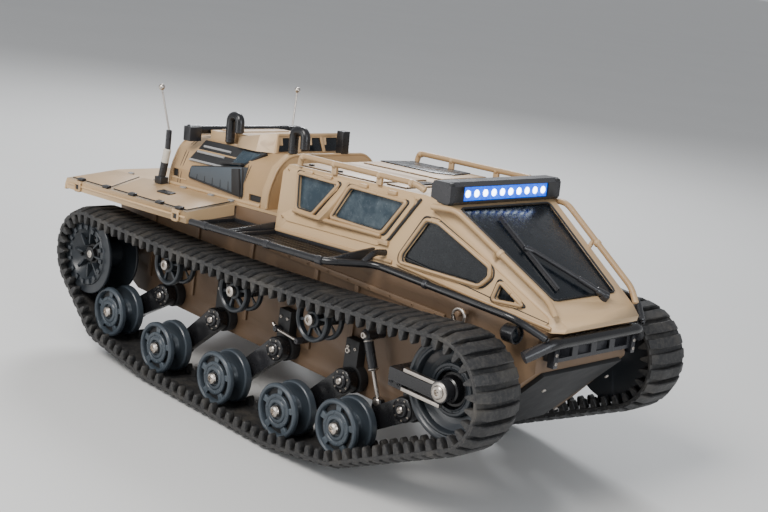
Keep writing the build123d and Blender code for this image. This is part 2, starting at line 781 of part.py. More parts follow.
def make_rails():
    """Roof rails on three feet each, and the tubes that guard the windshield pillars."""
    with BuildPart() as rails:
        add(tube([(8.5, 61, 190.9), (10, 61.5, 198), (122, 60.8, 196.4), (130, 58, 192.5)], 2.2, 4))
        for x in (45, 90):
            with Locations((x, 61, 193.9)):
                Box(5, 2.4, 7.6)
        mirror(about=Plane.XZ)
    save_raked(rails.part, "roof_rails")
    with BuildPart() as guards:
        add(tube([(140, 61.9, 184), (159, 58.4, 184.3), (230, 45.2, 139.5), (236, 43.6, 130)], 2.2, 4))
        mirror(about=Plane.XZ)
    save_raked(guards.part, "pillar_guards")


def make_light_bar():
    """Roof light bar: black housing on the header and its lens strip with ten lamps."""
    with BuildPart() as housing:
        with BuildSketch(side(58)):
            with BuildLine():
                Polyline((135, 189.475), (149, 185.643), (152, 188), (152, 198.5), (149, 201), (138, 201),
                         (135, 198.5), close=True)
            make_face()
        extrude(amount=116)
        with BuildSketch(Plane.YZ.offset(149.5)):
            with Locations((0, 193.2)):
                Rectangle(89, 9.6)
        extrude(amount=4, mode=Mode.SUBTRACT)
    save_raked(housing.part, "light_bar")
    with BuildPart() as lamps:
        with BuildSketch(Plane.YZ.offset(149.5)):
            with Locations((0, 193.2)):
                Rectangle(89, 9.6)
        extrude(amount=1)
        with BuildSketch(Plane.YZ.offset(150.5)):
            with GridLocations(8.8, 1, 10, 1):
                with Locations((0, 193.2)):
                    Circle(3.4)
        extrude(amount=1, taper=20)
    save_raked(lamps.part, "light_bar_lamps")


def make_steps():
    """Side steps: outer rail that runs on as the nerf bar, perforated tread and cross pieces."""
    with BuildPart() as steps:
        route = [(-58, STEP_Y, STEP_Z), (88, STEP_Y, STEP_Z), (110, 78, STEP_Z), (222, 66, 128),
                 (237, 52, 117)]
        add(tube(route, TUBE_R, 8))
        with BuildSketch(Plane.XY.offset(137)):
            with BuildLine():
                Polyline((-57, TUB_HALF), (-57, STEP_Y), (89, STEP_Y), (107, 80), (107, TUB_HALF),
                         close=True)
            make_face()
            with Locations((16, 92)):
                with GridLocations(9, 6, 15, 2):
                    SlotOverall(6, 2.4, mode=Mode.SUBTRACT)
        extrude(amount=1.5)
        mirror(about=Plane.XZ)
    save_raked(steps.part, "side_steps")


def make_front_gear():
    """Round headlights on the nerf bars, bumper tube with its grille box, and the skid plate."""
    with BuildPart() as lights:
        with BuildSketch(Plane.YZ.offset(211)):
            with Locations(HEADLIGHT):
                Circle(6.3)
        extrude(amount=11.5)
        with BuildSketch(Plane.YZ.offset(221.5)):
            with Locations(HEADLIGHT):
                Circle(5.2)
        extrude(amount=1, mode=Mode.SUBTRACT)
        with Locations((216, 55.65, HEADLIGHT[1])):
            Box(6, 4.7, 4)
        mirror(about=Plane.XZ)
    save_raked(lights.part, "headlights")
    with BuildPart() as bumper:
        route = [(229, -62, 104.5), (238.5, -45, 113.8), (238.5, 45, 113.8), (229, 62, 104.5)]
        add(tube(route, 4, 14))
        for sign in SIDES.values():
            with Locations((236.5, sign * 42, 105.8)):
                Box(5, 4, 17)
        with Locations((233.1, 0, 105.8)):
            Box(8, 84, 11)
        with Locations((237, 0, 105.8)):
            for y in (-30, -10, 10, 30):
                with Locations((0, y, 0)):
                    Box(4, 14, 6, mode=Mode.SUBTRACT)
    save_raked(bumper.part, "front_bumper")
    with BuildPart() as skid:
        with BuildSketch(side(42)):
            with BuildLine():
                Polyline((168, BELLY), raked(229, 92), raked(231.5, 90), (170.2, BELLY - 2), close=True)
            make_face()
        extrude(amount=84)
    save(skid.part, "skid_plate")


def make_roof_gear():
    """Antennas, snorkels and the black crossbar at the back of the engine cover."""
    with BuildPart() as antennas:
        for sign in SIDES.values():
            with Locations((-152, sign * 65, 154.8)):
                Box(9, 8, 6)
            add(tube([(-152, sign * 65, 156), (-146.5, sign * 64.6, 181)], 3.2, 1))
            add(tube([(-146.5, sign * 64.6, 180), (-145.8, sign * 64.8, 196)], 2.4, 1))
            add(tube([(-145.8, sign * 64.8, 195), (-150, sign * 71, 228)], 0.8, 1))
            with Locations((-150, sign * 71.3, 229.5)):
                Sphere(2.6)
    save_raked(antennas.part, "antennas")
    with BuildPart() as snorkels:
        add(tube([(-102, -38, 191.1), (-102, -38, 213), (-91, -38, 213), (-91, -38, 200)], 3.8, 5))
        add(tube([(-32, -33, 192.4), (-32, -33, 211), (-19, -33, 211), (-19, -33, 197)], 3.8, 5))
        with Locations((-30, 16, 201.4)):
            Box(8, 8, 18)
    save_raked(snorkels.part, "snorkels")
    with BuildPart() as crossbar:
        add(tube([(-132, -58, 198), (-132, 58, 198)], 3.6, 1))
        for y in (-52, 52):
            with Locations((-132, y, 195)):
                Box(9, 12, 12)
    save_raked(crossbar.part, "rear_crossbar")


def make_shackle():
    """Tow ring hanging on a lug of the hull wall."""
    with BuildPart() as ring:
        with BuildSketch(side(66.4)):
            with Locations(RING_CENTRE):
                Circle(6)
                Circle(3.9, mode=Mode.SUBTRACT)
        extrude(amount=-2.2)
    save_sides(ring.part, "tow_ring")


make_running_gear()
make_roller_axles()
make_tensioners()
make_towers()
make_hull()
make_drive()
make_cab()
make_glass()
make_wiper()
make_engine_cover()
make_intakes()
make_deck()
make_roof_box()
make_rails()
make_light_bar()
make_steps()
make_front_gear()
make_roof_gear()
make_shackle()
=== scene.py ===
"""Looks of the tracked tank chassis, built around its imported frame. Helper sizes are millimetres."""
import json
from math import acos, atan2, cos, hypot, pi, radians, sin

import bmesh
import bpy
from mathutils import Matrix, Vector

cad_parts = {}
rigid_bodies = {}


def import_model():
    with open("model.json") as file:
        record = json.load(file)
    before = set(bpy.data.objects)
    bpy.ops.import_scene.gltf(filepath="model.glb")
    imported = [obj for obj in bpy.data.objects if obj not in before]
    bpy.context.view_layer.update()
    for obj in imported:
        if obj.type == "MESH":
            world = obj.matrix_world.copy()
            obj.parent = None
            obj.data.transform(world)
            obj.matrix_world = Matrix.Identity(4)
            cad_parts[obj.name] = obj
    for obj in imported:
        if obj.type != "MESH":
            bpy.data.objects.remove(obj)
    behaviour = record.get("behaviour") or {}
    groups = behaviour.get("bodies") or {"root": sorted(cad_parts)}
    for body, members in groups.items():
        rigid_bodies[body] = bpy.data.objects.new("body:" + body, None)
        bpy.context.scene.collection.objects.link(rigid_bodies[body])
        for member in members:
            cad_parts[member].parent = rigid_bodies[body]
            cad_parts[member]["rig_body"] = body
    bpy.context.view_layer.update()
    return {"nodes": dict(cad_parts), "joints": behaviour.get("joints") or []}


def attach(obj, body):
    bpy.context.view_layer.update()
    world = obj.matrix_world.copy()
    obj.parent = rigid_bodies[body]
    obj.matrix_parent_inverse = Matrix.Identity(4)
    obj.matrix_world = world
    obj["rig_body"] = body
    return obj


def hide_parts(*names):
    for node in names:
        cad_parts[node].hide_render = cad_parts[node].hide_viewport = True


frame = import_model()
MM = 0.001
RAKE = Matrix.Rotation(radians(-3.6), 4, "Y")
LEVEL = Matrix.Identity(4)
SIDES = {"right": -1, "left": 1}


def show(made):
    bpy.context.scene.collection.objects.link(made)


# ---- camera, floor and light
def make_camera():
    """Camera at the photograph's angle, given by azimuth, elevation and roll about a target."""
    azimuth, elevation, roll, distance = radians(43.51), radians(13.41), radians(7.98), 1.21335
    target = Vector((-0.11795, 0.15935, 0.0764))
    back = Vector((sin(azimuth) * cos(elevation), -cos(azimuth) * cos(elevation), sin(elevation)))
    right = Vector((cos(azimuth), sin(azimuth), 0))
    up = back.cross(right)
    turned_right = right * cos(roll) + up * sin(roll)
    turned_up = up * cos(roll) - right * sin(roll)
    data = bpy.data.cameras.new("camera")
    data.lens, data.sensor_width = 62.2, 36
    data.clip_start = 0.01
    camera = bpy.data.objects.new("camera", data)
    axes = Matrix((turned_right, turned_up, back)).transposed().to_4x4()
    camera.matrix_world = Matrix.Translation(target + back * distance) @ axes
    show(camera)
    bpy.context.scene.camera = camera


def make_light(name, place, size, power, colour=(1, 1, 1)):
    """Area light aimed at the middle of the hull."""
    data = bpy.data.lights.new(name, "AREA")
    data.shape, data.size, data.energy, data.color = "DISK", size, power, colour
    lamp = bpy.data.objects.new(name, data)
    aim = Vector((0, 0, 0.1)) - Vector(place)
    lamp.matrix_world = Matrix.Translation(place) @ aim.to_track_quat("-Z", "Y").to_matrix().to_4x4()
    show(lamp)


def make_stage():
    """Plain pale floor and soft studio light."""
    mesh = bpy.data.meshes.new("floor")
    reach = 40.0
    corners = [(-reach, -reach, 0), (reach, -reach, 0), (reach, reach, 0), (-reach, reach, 0)]
    mesh.from_pydata(corners, [], [(0, 1, 2, 3)])
    floor = bpy.data.objects.new("floor", mesh)
    show(floor)
    floor.data.materials.append(plain_floor())
    world = bpy.data.worlds.new("world")
    world.use_nodes = True
    sky = world.node_tree.nodes["Background"].inputs
    sky["Color"].default_value, sky["Strength"].default_value = (0.86, 0.88, 0.92, 1), 0.55
    bpy.context.scene.world = world
    make_light("key", (0.15, -1.1, 1.25), 0.7, 24, (1, 0.97, 0.93))
    make_light("fill", (1.5, -0.3, 0.6), 0.9, 9, (0.9, 0.95, 1))
    make_light("rim", (-1.0, 0.9, 1.1), 0.6, 20, (0.95, 0.97, 1))
    make_light("low", (-0.6, -1.5, 0.35), 0.8, 7)


# ---- materials
class Nodes:
    """Short way to write a node material out of object coordinates."""

    def __init__(self, name):
        self.material = bpy.data.materials.new(name)
        self.material.use_nodes = True
        self.tree = self.material.node_tree
        self.shader = self.tree.nodes["Principled BSDF"]
        self.coords = self.add("TexCoord").outputs["Object"]

    def add(self, kind, **inputs):
        node = self.tree.nodes.new("ShaderNode" + kind)
        for name, value in inputs.items():
            node.inputs[name].default_value = value
        return node

    def join(self, source, target):
        self.tree.links.new(source, target)

    def noise(self, scale, detail=4, roughness=0.6, stretch=None):
        node = self.add("TexNoise", Scale=scale, Detail=detail, Roughness=roughness)
        source = self.coords
        if stretch:
            mapping = self.add("Mapping", Scale=stretch)
            self.join(source, mapping.inputs["Vector"])
            source = mapping.outputs["Vector"]
        self.join(source, node.inputs["Vector"])
        return node.outputs["Fac"]

    def ramp(self, value, low, high, start=(0, 0, 0, 1), end=(1, 1, 1, 1)):
        node = self.add("ValToRGB")
        for stop, position, colour in zip(node.color_ramp.elements, (low, high), (start, end)):
            stop.position, stop.color = position, colour
        self.join(value, node.inputs["Fac"])
        return node.outputs["Color"]

    def mix(self, factor, a, b):
        node = self.add("Mix")
        node.data_type = "RGBA"
        for socket, value in ((node.inputs[0], factor), (node.inputs[6], a), (node.inputs[7], b)):
            if isinstance(value, tuple):
                socket.default_value = value
            elif isinstance(value, float):
                socket.default_value = value if socket == node.inputs[0] else grey(value)
            else:
                self.join(value, socket)
        return node.outputs[2]

    def pointy(self, low, high):
        geometry = self.add("NewGeometry")
        return self.ramp(geometry.outputs["Pointiness"], low, high)

    def bump(self, value, strength, distance):
        node = self.add("Bump", Strength=strength, Distance=distance)
        self.join(value, node.inputs["Height"])
        self.join(node.outputs["Normal"], self.shader.inputs["Normal"])

    def set(self, **values):
        for name, value in values.items():
            socket = self.shader.inputs[name.replace("_", " ")]
            if isinstance(value, (float, int, tuple)):
                socket.default_value = value
            else:
                self.join(value, socket)


def rgb(r, g, b):
    return (r, g, b, 1)


def grey(value):
    return (value, value, value, 1)


def moulded(name, colour, rough, grain, edge=None):
    """Moulded plastic with a fine grain, a faint uneven tone and paler convex edges: partly wear, partly
    painted highlight.
    """
    m = Nodes(name)
    dark = tuple(c * 0.86 for c in colour[:3]) + (1,)
    tone = m.mix(m.ramp(m.noise(22, 5), 0.35, 0.7), dark, colour)
    if edge:
        # Paler colour on convex edges, found by pointiness: painted edge highlight together with edge
        # wear.
        wear_and_edge_highlight = m.mix(m.pointy(0.52, 0.6), 0.0, 0.6)
        tone = m.mix(wear_and_edge_highlight, tone, edge)
    shine = m.ramp(m.noise(60, 3), 0.3, 0.7, grey(rough - 0.07), grey(rough + 0.08))
    m.set(Base_Color=tone, Roughness=shine)
    m.bump(m.noise(1400, 2, 0.5), grain, 0.0002)
    return m.material


def belt_rubber():
    """Dark rubber with dusty, brownish worn patches."""
    m = Nodes("belt_rubber")
    dust = m.ramp(m.noise(38, 6, 0.65), 0.52, 0.68)
    speck = m.ramp(m.noise(420, 3, 0.7), 0.45, 0.62)
    base = m.mix(dust, rgb(0.014, 0.014, 0.015), rgb(0.048, 0.043, 0.037))
    base = m.mix(m.mix(speck, 0.0, 0.35), base, rgb(0.075, 0.07, 0.062))
    m.set(Base_Color=base, Roughness=m.ramp(m.noise(90, 4), 0.3, 0.75, grey(0.46), grey(0.72)))
    m.bump(m.noise(650, 5, 0.7), 0.35, 0.0004)
    return m.material


def metal(name, colour, rough):
    """Turned or polished metal with fine scratches and faint stains."""
    m = Nodes(name)
    stain = m.ramp(m.noise(70, 5), 0.4, 0.75)
    dull = tuple(c * 0.72 for c in colour[:3]) + (1,)
    m.set(Base_Color=m.mix(stain, colour, dull), Metallic=1.0, Roughness=m.ramp(m.noise(160, 4), 0.3, 0.8,
        grey(rough), grey(rough + 0.18)))
    m.bump(m.noise(900, 2, 0.5, (1, 12, 1)), 0.12, 0.0001)
    return m.material


def tinted_glass(name, colour, alpha, rough, dusty):
    """Tinted clear plastic pane with light dust and scuffs."""
    m = Nodes(name)
    dust = m.ramp(m.noise(55, 7, 0.7), 0.48, 0.72)
    m.set(Base_Color=m.mix(m.mix(dust, 0.0, dusty), colour, rgb(0.4, 0.47, 0.5)), Alpha=alpha,
        Roughness=m.ramp(m.noise(240, 5, 0.7), 0.42, 0.75, grey(rough), grey(rough + 0.2)))
    m.set(Specular_IOR_Level=0.36, Coat_Weight=0.08, Coat_Roughness=0.08)
    m.bump(m.noise(380, 3, 0.6, (1, 5, 1)), 0.02, 0.0001)
    return m.material


def lamp_light(name, colour, core, strength):
    """Lit lamp lens, with brighter grain in it."""
    m = Nodes(name)
    glow = m.mix(m.ramp(m.noise(500, 3), 0.3, 0.7), colour, core)
    m.set(Base_Color=glow, Emission_Color=glow, Emission_Strength=strength, Roughness=0.2)
    m.bump(m.noise(900, 2), 0.1, 0.0002)
    return m.material


def plain_floor():
    m = Nodes("floor_finish")
    m.set(Base_Color=m.mix(m.noise(3, 2), rgb(0.62, 0.62, 0.61), rgb(0.66, 0.66, 0.65)), Roughness=0.75)
    return m.material


RUBBER = belt_rubber()
# The last colour given to moulded is its paler edge colour: painted edge highlight together with wear.
SAND = moulded("sand_plastic", rgb(0.41, 0.265, 0.135), 0.42, 0.22, rgb(0.58, 0.41, 0.235))
# Sand plastic darkened to about a third of its colour: painted shade for the lower hull, which stands in
# the body's shadow.
SHADED_SAND = moulded("brown_plastic", rgb(0.135, 0.082, 0.046), 0.5, 0.25, rgb(0.22, 0.14, 0.08))
BLACK = moulded("black_plastic", rgb(0.007, 0.007, 0.008), 0.27, 0.12, rgb(0.04, 0.04, 0.045))
MATT_BLACK = moulded("matt_black_plastic", rgb(0.016, 0.016, 0.017), 0.6, 0.4)
SLATE = moulded("slate_plastic", rgb(0.042, 0.054, 0.067), 0.36, 0.15, rgb(0.12, 0.145, 0.17))
DEEP_SLATE = moulded("deep_slate_plastic", rgb(0.017, 0.021, 0.026), 0.34, 0.15, rgb(0.06, 0.07, 0.085))
STEEL = metal("steel", rgb(0.56, 0.51, 0.46), 0.24)
DARK_STEEL = metal("dark_steel", rgb(0.06, 0.06, 0.062), 0.38)
SIDE_GLASS = tinted_glass("window_glass", rgb(0.028, 0.046, 0.062), 0.95, 0.16, 0.16)
SCREEN_GLASS = tinted_glass("windshield_glass", rgb(0.004, 0.006, 0.009), 0.97, 0.2, 0.02)
LAMP = lamp_light("lamp_lens", rgb(0.62, 0.85, 1), grey(1), 9.0)
LAMP_GLOW = lamp_light("lamp_glow", rgb(0.0, 0.05, 0.7), rgb(0.0, 0.16, 0.95), 1.3)
SILVER = moulded("silver_trim", grey(0.33), 0.26, 0.1)
CREAM = moulded("cream_plastic", rgb(0.62, 0.58, 0.50), 0.4, 0.15)
BOARD = moulded("circuit_board", rgb(0.01, 0.10, 0.035), 0.35, 0.2)
WRAP = moulded("battery_wrap", rgb(0.03, 0.06, 0.2), 0.3, 0.1)


# ---- mesh helpers
def turns(count, start=0.0):
    """Angles evenly spaced round a circle."""
    return [2 * pi * n / count + start for n in range(count)]


class Shape:
    def __init__(self):
        self.bm = bmesh.new()

    def loft(self, rings, closed=False, caps=True):
        """Surface through rings of points; closed joins the last ring to the first."""
        rows = [[self.bm.verts.new(p) for p in ring] for ring in rings]
        pairs = list(zip(rows, rows[1:])) + ([(rows[-1], rows[0])] if closed else [])
        for a, b in pairs:
            for i in range(len(a)):
                j = (i + 1) % len(a)
                self.bm.faces.new((a[i], a[j], b[j], b[i]))
        if caps and not closed:
            self.bm.faces.new(rows[0][::-1])
            self.bm.faces.new(rows[-1])
        return self

    def lathe(self, profile, centre=(0, 0, 0), steps=48, axis="Y"):
        """Closed (radius, along) profile turned about an axis through centre."""
        rings = []
        for a in turns(steps):
            ring = []
            for r, t in profile:
                p = {"Y": (r * cos(a), t, r * sin(a)), "X": (t, r * cos(a), r * sin(a)),
                    "Z": (r * cos(a), r * sin(a), t)}[axis]
                ring.append(Vector(p) + Vector(centre))
            rings.append(ring)
        return self.loft(rings, closed=True)

    def prism(self, outline, low, high, plane="XZ"):
        """Outline in the XZ or YZ plane, pushed from low to high along the third axis."""
        return self.loft([[(a, t, b) if plane == "XZ" else (t, a, b) for a, b in outline]
            for t in (low, high)])

    def box(self, centre, size, turn=None):
        """Block, turned about its own centre."""
        sx, sy, sz = (s / 2 for s in size)
        place = Matrix.Translation(centre) @ (turn or LEVEL)
        low = [place @ Vector(p) for p in ((-sx, -sy, -sz), (sx, -sy, -sz), (sx, sy, -sz), (-sx, sy, -sz))]
        high = [place @ Vector(p) for p in ((-sx, -sy, sz), (sx, -sy, sz), (sx, sy, sz), (-sx, sy, sz))]
        return self.loft([low, high])

    def tube(self, points, radius, bend=0.0, steps=14):
        """Round tube along points with rounded corners and domed ends."""
        path = round_path([Vector(p) for p in points], bend)
        rings = []
        side_axis = None
        for i, p in enumerate(path):
            ahead = (path[min(i + 1, len(path) - 1)] - path[max(i - 1, 0)]).normalized()
            if side_axis is None:
                side_axis = ahead.orthogonal().normalized()
            side_axis = (side_axis - ahead * side_axis.dot(ahead)).normalized()
            other = ahead.cross(side_axis)
            rings.append([p + side_axis * (radius * cos(t)) + other * (radius * sin(t))
                for t in turns(steps)])
        first, last = (path[0] - path[1]).normalized(), (path[-1] - path[-2]).normalized()
        inset = radius * 0.25
        start = [p + (path[0] - p) * 0.3 for p in rings[0]]
        end = [p + (path[-1] - p) * 0.3 for p in rings[-1]]
        rings[0] = [p - first * inset for p in rings[0]]
        rings[-1] = [p - last * inset for p in rings[-1]]
        return self.loft([start] + rings + [end])

    def bolt(self, centre, along, radius, height):
        """Domed bolt head with a socket, standing along a direction."""
        up = Vector(along).normalized()
        a = up.orthogonal().normalized()
        b = up.cross(a)

        def ring(r, h):
            return [Vector(centre) + up * h + (a * cos(t) + b * sin(t)) * r for t in turns(12)]
        return self.loft([ring(radius, 0), ring(radius, height * 0.6), ring(radius * 0.8, height),
            ring(radius * 0.5, height), ring(radius * 0.45, height * 0.35)])

    def bevel(self, width, steps=2, angle=25):
        """Rounds the sharp edges drawn so far."""
        self.bm.normal_update()
        sharp = [e for e in self.bm.edges if len(e.link_faces) == 2
            and e.calc_face_angle(0) > radians(angle)]
        bmesh.ops.bevel(self.bm, geom=sharp, offset=width, segments=steps, profile=0.6, affect="EDGES",
            clamp_overlap=True)
        return self

    def mirrored(self):
        """Adds the mirror image across the vehicle's middle plane."""
        made = bmesh.ops.duplicate(self.bm, geom=list(self.bm.verts) + list(self.bm.edges)
            + list(self.bm.faces))
        copies = [g for g in made["geom"] if isinstance(g, bmesh.types.BMVert)]
        for v in copies:
            v.co.y = -v.co.y
        bmesh.ops.reverse_faces(self.bm,
            faces=[g for g in made["geom"] if isinstance(g, bmesh.types.BMFace)])
        return self

    def finish(self, name, body, material, place=LEVEL, replaces=(), smooth=32):
        """Makes the mesh a piece that rides on a body."""
        self.bm.transform(Matrix.Scale(MM, 4) @ place)
        bmesh.ops.recalc_face_normals(self.bm, faces=self.bm.faces)
        mesh = bpy.data.meshes.new(name)
        self.bm.to_mesh(mesh)
        self.bm.free()
        mesh.shade_smooth()
        mesh.set_sharp_from_angle(angle=radians(smooth))
        piece = bpy.data.objects.new(name, mesh)
        show(piece)
        mesh.materials.append(material)
        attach(piece, body)
        if replaces:
            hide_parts(*replaces)
        return piece

    def single(self, name, material, replaces=()):
        """Makes the mesh a fixed piece of the raked body."""
        return self.finish(name, "hull", material, RAKE, replaces)

    def pair(self, name, material, replaces=()):
        """The same with its mirror image added."""
        return self.mirrored().single(name, material, replaces)


def round_path(points, bend, steps=6):
    """Path with each corner rounded by a curve that reaches bend along both runs."""
    if bend <= 0 or len(points) < 3:
        return points
    path = [points[0]]
    for before, corner, after in zip(points, points[1:], points[2:]):
        reach = min(bend, (before - corner).length * 0.45, (after - corner).length * 0.45)
        a = corner + (before - corner).normalized() * reach
        b = corner + (after - corner).normalized() * reach
        for k in range(steps + 1):
            t = k / steps
            path.append(a * (1 - t) ** 2 + corner * 2 * t * (1 - t) + b * t * t)
    return path + [points[-1]]


def refined(node, material, width, steps=2, angle=28):
    """A CAD node's own shape with its flat faces joined and its edges rounded."""
    source = frame["nodes"][node]
    shape = Shape()
    shape.bm.from_mesh(source.data)
    shape.bm.transform(Matrix.Scale(1 / MM, 4))
    bmesh.ops.remove_doubles(shape.bm, verts=shape.bm.verts, dist=0.002)
    bmesh.ops.dissolve_limit(shape.bm, angle_limit=radians(1), verts=shape.bm.verts, edges=shape.bm.edges)
    if width:
        shape.bevel(width, steps, angle)
    body = source["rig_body"]
    return shape.finish(node + "_shell", body, material, replaces=(node,))


# ---- belts
BAND, LUG, PITCH, GAP = 2.5, 4.0, 9.62, 0.35
WHEEL_R = 20.0
BELT_IN, BELT_MID, BELT_OUT = 71.0, 91.5, 112.0


def hinge(name):
    """Joint position in millimetres as (x, z)."""
    for joint in frame["joints"]:
        if joint["name"] == name:
            return (joint["pos_m"][0] / MM, joint["pos_m"][2] / MM)


SPROCKET, IDLER = hinge("sprocket_spin_left"), hinge("idler_spin_left")
SPROCKET_R, IDLER_R, SAG_R = 32.5, 34.0, 3350.0
WHEELS = [hinge(f"wheel_spin_{i}_left") for i in range(1, 6)]
PIVOTS = [hinge(f"arm_swing_{i}_left") for i in range(1, 6)]
ROLLERS = [hinge(f"roller_spin_{i}_left") for i in range(1, 4)]


def tangent_line(a, ra, b, rb):
    """Ends of the line touching circles a and b on their left, going from a to b."""
    dx, dz = b[0] - a[0], b[1] - a[1]
    turn = atan2(dz, dx) + acos((ra - rb) / hypot(dx, dz))
    n = (cos(turn), sin(turn))
    return (a[0] + ra * n[0], a[1] + ra * n[1]), (b[0] + rb * n[0], b[1] + rb * n[1])


def belt_segments():
    """Lines and arcs of the belt's rolling surface, with its sagging top."""
    ra, rb = SAG_R + SPROCKET_R, SAG_R + IDLER_R
    dx, dz = IDLER[0] - SPROCKET[0], IDLER[1] - SPROCKET[1]
    gap = hypot(dx, dz)
    along = (ra * ra - rb * rb + gap * gap) / (2 * gap)
    rise = (ra * ra - along * along) ** 0.5
    sag = (SPROCKET[0] + along * dx / gap - rise * dz / gap,
        SPROCKET[1] + along * dz / gap + rise * dx / gap)
    circles = [(IDLER, IDLER_R)] + [(WHEELS[i], WHEEL_R + GAP)
        for i in (4, 3, 1, 0)] + [(SPROCKET, SPROCKET_R)]
    lines = [tangent_line(*circles[i], *circles[i + 1]) for i in range(len(circles) - 1)]
    onto_idler = atan2(sag[1] - IDLER[1], sag[0] - IDLER[0])
    off_sprocket = atan2(sag[1] - SPROCKET[1], sag[0] - SPROCKET[0])
    found, angle_in = [], onto_idler
    for (centre, radius), line in zip(circles, lines + [None]):
        angle_out = atan2(line[0][1] - centre[1], line[0][0] - centre[0]) if line else off_sprocket
        while angle_out > angle_in:
            angle_out -= 2 * pi
        while angle_out < angle_in - 2 * pi:
            angle_out += 2 * pi
        found.append(("arc", centre, radius, angle_in, angle_out))
        if line:
            found.append(("line", *line))
            angle_in = angle_out
    found.append(("arc", sag, SAG_R, off_sprocket - pi, onto_idler - pi))
    return found


def segment_length(seg):
    if seg[0] == "line":
        return hypot(seg[2][0] - seg[1][0], seg[2][1] - seg[1][1])
    return seg[2] * abs(seg[4] - seg[3])


SEGMENTS = belt_segments()
BELT_LENGTH = sum(segment_length(seg) for seg in SEGMENTS)
LINKS = round(BELT_LENGTH / PITCH)
STEP = BELT_LENGTH / LINKS


def belt_point(s, lift, y):
    """Point at distance s along the belt, lifted outward, at width y."""
    s = s % BELT_LENGTH
    for seg in SEGMENTS:
        size = segment_length(seg)
        if s <= size or seg is SEGMENTS[-1]:
            break
        s -= size
    if seg[0] == "line":
        (x0, z0), (x1, z1) = seg[1], seg[2]
        ux, uz = (x1 - x0) / size, (z1 - z0) / size
        return Vector((x0 + ux * s - uz * lift, y, z0 + uz * s + ux * lift))
    centre, radius, a0, a1 = seg[1:]
    angle = a0 + (a1 - a0) * s / size
    reach = radius + lift if a1 < a0 else radius - lift
    return Vector((centre[0] + reach * cos(angle), y, centre[1] + reach * sin(angle)))


def make_belt(side):
    """Band, cross lugs with low ends and a slight sweep, and drive teeth along both edges."""
    k = SIDES[side]
    belt = Shape()
    edge = 0.5
    section = [(BELT_IN + edge, 0), (BELT_IN, edge), (BELT_IN, BAND - edge), (BELT_IN + edge, BAND),
        (BELT_OUT - edge, BAND), (BELT_OUT, BAND - edge), (BELT_OUT, edge), (BELT_OUT - edge, 0)]
    rings = []
    for i in range(LINKS * 3):
        rings.append([belt_point(i * STEP / 3, h, k * y) for y, h in section])
    belt.loft(rings, closed=True)
    band_top = BAND - 0.3
    across = [(BELT_IN + 0.2, 0.9), (BELT_IN + 9, LUG), (BELT_IN + 13, LUG), (BELT_MID, LUG),
        (BELT_OUT - 13, LUG), (BELT_OUT - 9, LUG), (BELT_OUT - 0.2, 0.9)]
    for i in range(LINKS):
        mid = i * STEP
        rows = []
        for y, height in across:
            lean = 0.9 * (1 - ((y - BELT_MID) / (BELT_OUT - BELT_MID)) ** 2)
            top = BAND + height - 0.07
            half, crown = 3.45, 2.95
            low = [(half, band_top), (half - 0.15, top - 0.7), (crown - 0.2, top)]
            outline = [(-s, h) for s, h in low] + low[::-1]
            rows.append([belt_point(mid + lean + s, h, k * y) for s, h in outline])
        belt.loft(rows)
    tooth = [(-2.75, -0.2), (-2.3, 2.2), (-1.55, 5.6), (-0.9, 6.6), (0, 6.95), (0.9, 6.6), (1.55, 5.6),
        (2.3, 2.2), (2.75, -0.2)]
    for i in range(LINKS):
        for low, high in ((BELT_IN + 0.3, BELT_IN + 6), (BELT_OUT - 6, BELT_OUT - 0.3)):
            belt.loft([[belt_point(i * STEP + s * f, -h * (0.5 + 0.5 * f), k * y) for s, h in tooth]
                for y, f in ((low, 0.86), (low + 0.5, 1), (high - 0.5, 1), (high, 0.86))])
    belt.finish(f"belt_{side}", "hull", RUBBER, replaces=(f"track_{side}",), smooth=38)


# ---- wheels, rollers, sprocket, idler
def sector(inner, outer, start, end, steps=6):
    """Outline of part of a ring, for spokes and windows, in the XZ plane."""
    arc = [start + (end - start) * i / steps for i in range(steps + 1)]
    return ([(inner * cos(a), inner * sin(a)) for a in arc] + [(outer * cos(a), outer * sin(a))
        for a in reversed(arc)])


def spin_place(centre, k):
    """Moves a wheel drawn about the origin, facing +Y, to its axle on one side."""
    return Matrix.Translation((centre[0], 0, centre[1])) @ Matrix.Diagonal((1, k, 1, 1))


def make_road_wheel(i, side):
    """Double-disc wheel with five spokes, a riveted hub plate and a matt black disc behind them that
    paints the shade between the spokes.
    """
    place = spin_place(WHEELS[i - 1], SIDES[side])
    body = f"wheel_{i}_{side}"
    wheel = Shape()
    wheel.lathe([(19.2, 97.2), (20, 98), (20, 100.6), (19.3, 101.7), (18.2, 102), (17, 101.6),
        (16.5, 100.2), (16.3, 98.6), (16.3, 97.2)], steps=72)
    wheel.lathe([(3.06, 88), (8, 88), (8, 97.6), (12.2, 98.2), (12.4, 100.4), (11.9, 101), (9.7, 101),
        (9.3, 100.5), (8.7, 100.5), (8.3, 101.2), (6.4, 101.5), (5.9, 100.9), (5.6, 99.6), (3.06, 99.6)],
        steps=60)
    wheel.lathe([(3.06, 80.2), (18.9, 80.2), (20, 81), (20, 86), (19.2, 86.9), (18.6, 86.9), (16.4, 85.6),
        (9, 84.9), (8, 88), (3.06, 88)], steps=72)
    for a in turns(5, 0.3):
        wheel.prism(sector(11.5, 17, a - 0.16, a + 0.16, 3), 97.8, 100.2)
    wheel.bevel(0.22, 2, 40)
    for a in turns(10):
        wheel.bolt((10.8 * cos(a), 101, 10.8 * sin(a)), (0, 1, 0), 0.62, 0.5)
    wheel.finish(f"road_wheel_{i}_{side}_disc", body, SLATE, place, (f"road_wheel_{i}_{side}",))
    # Matt black disc just behind the spokes: painted shade in the openings between them.
    spoke_gap_shade = Shape()
    spoke_gap_shade.lathe([(8, 96.6), (16.6, 96.6), (16.6, 97.6), (8, 97.6)], steps=48)
    spoke_gap_shade.finish(f"road_wheel_{i}_{side}_web", body, MATT_BLACK, place)


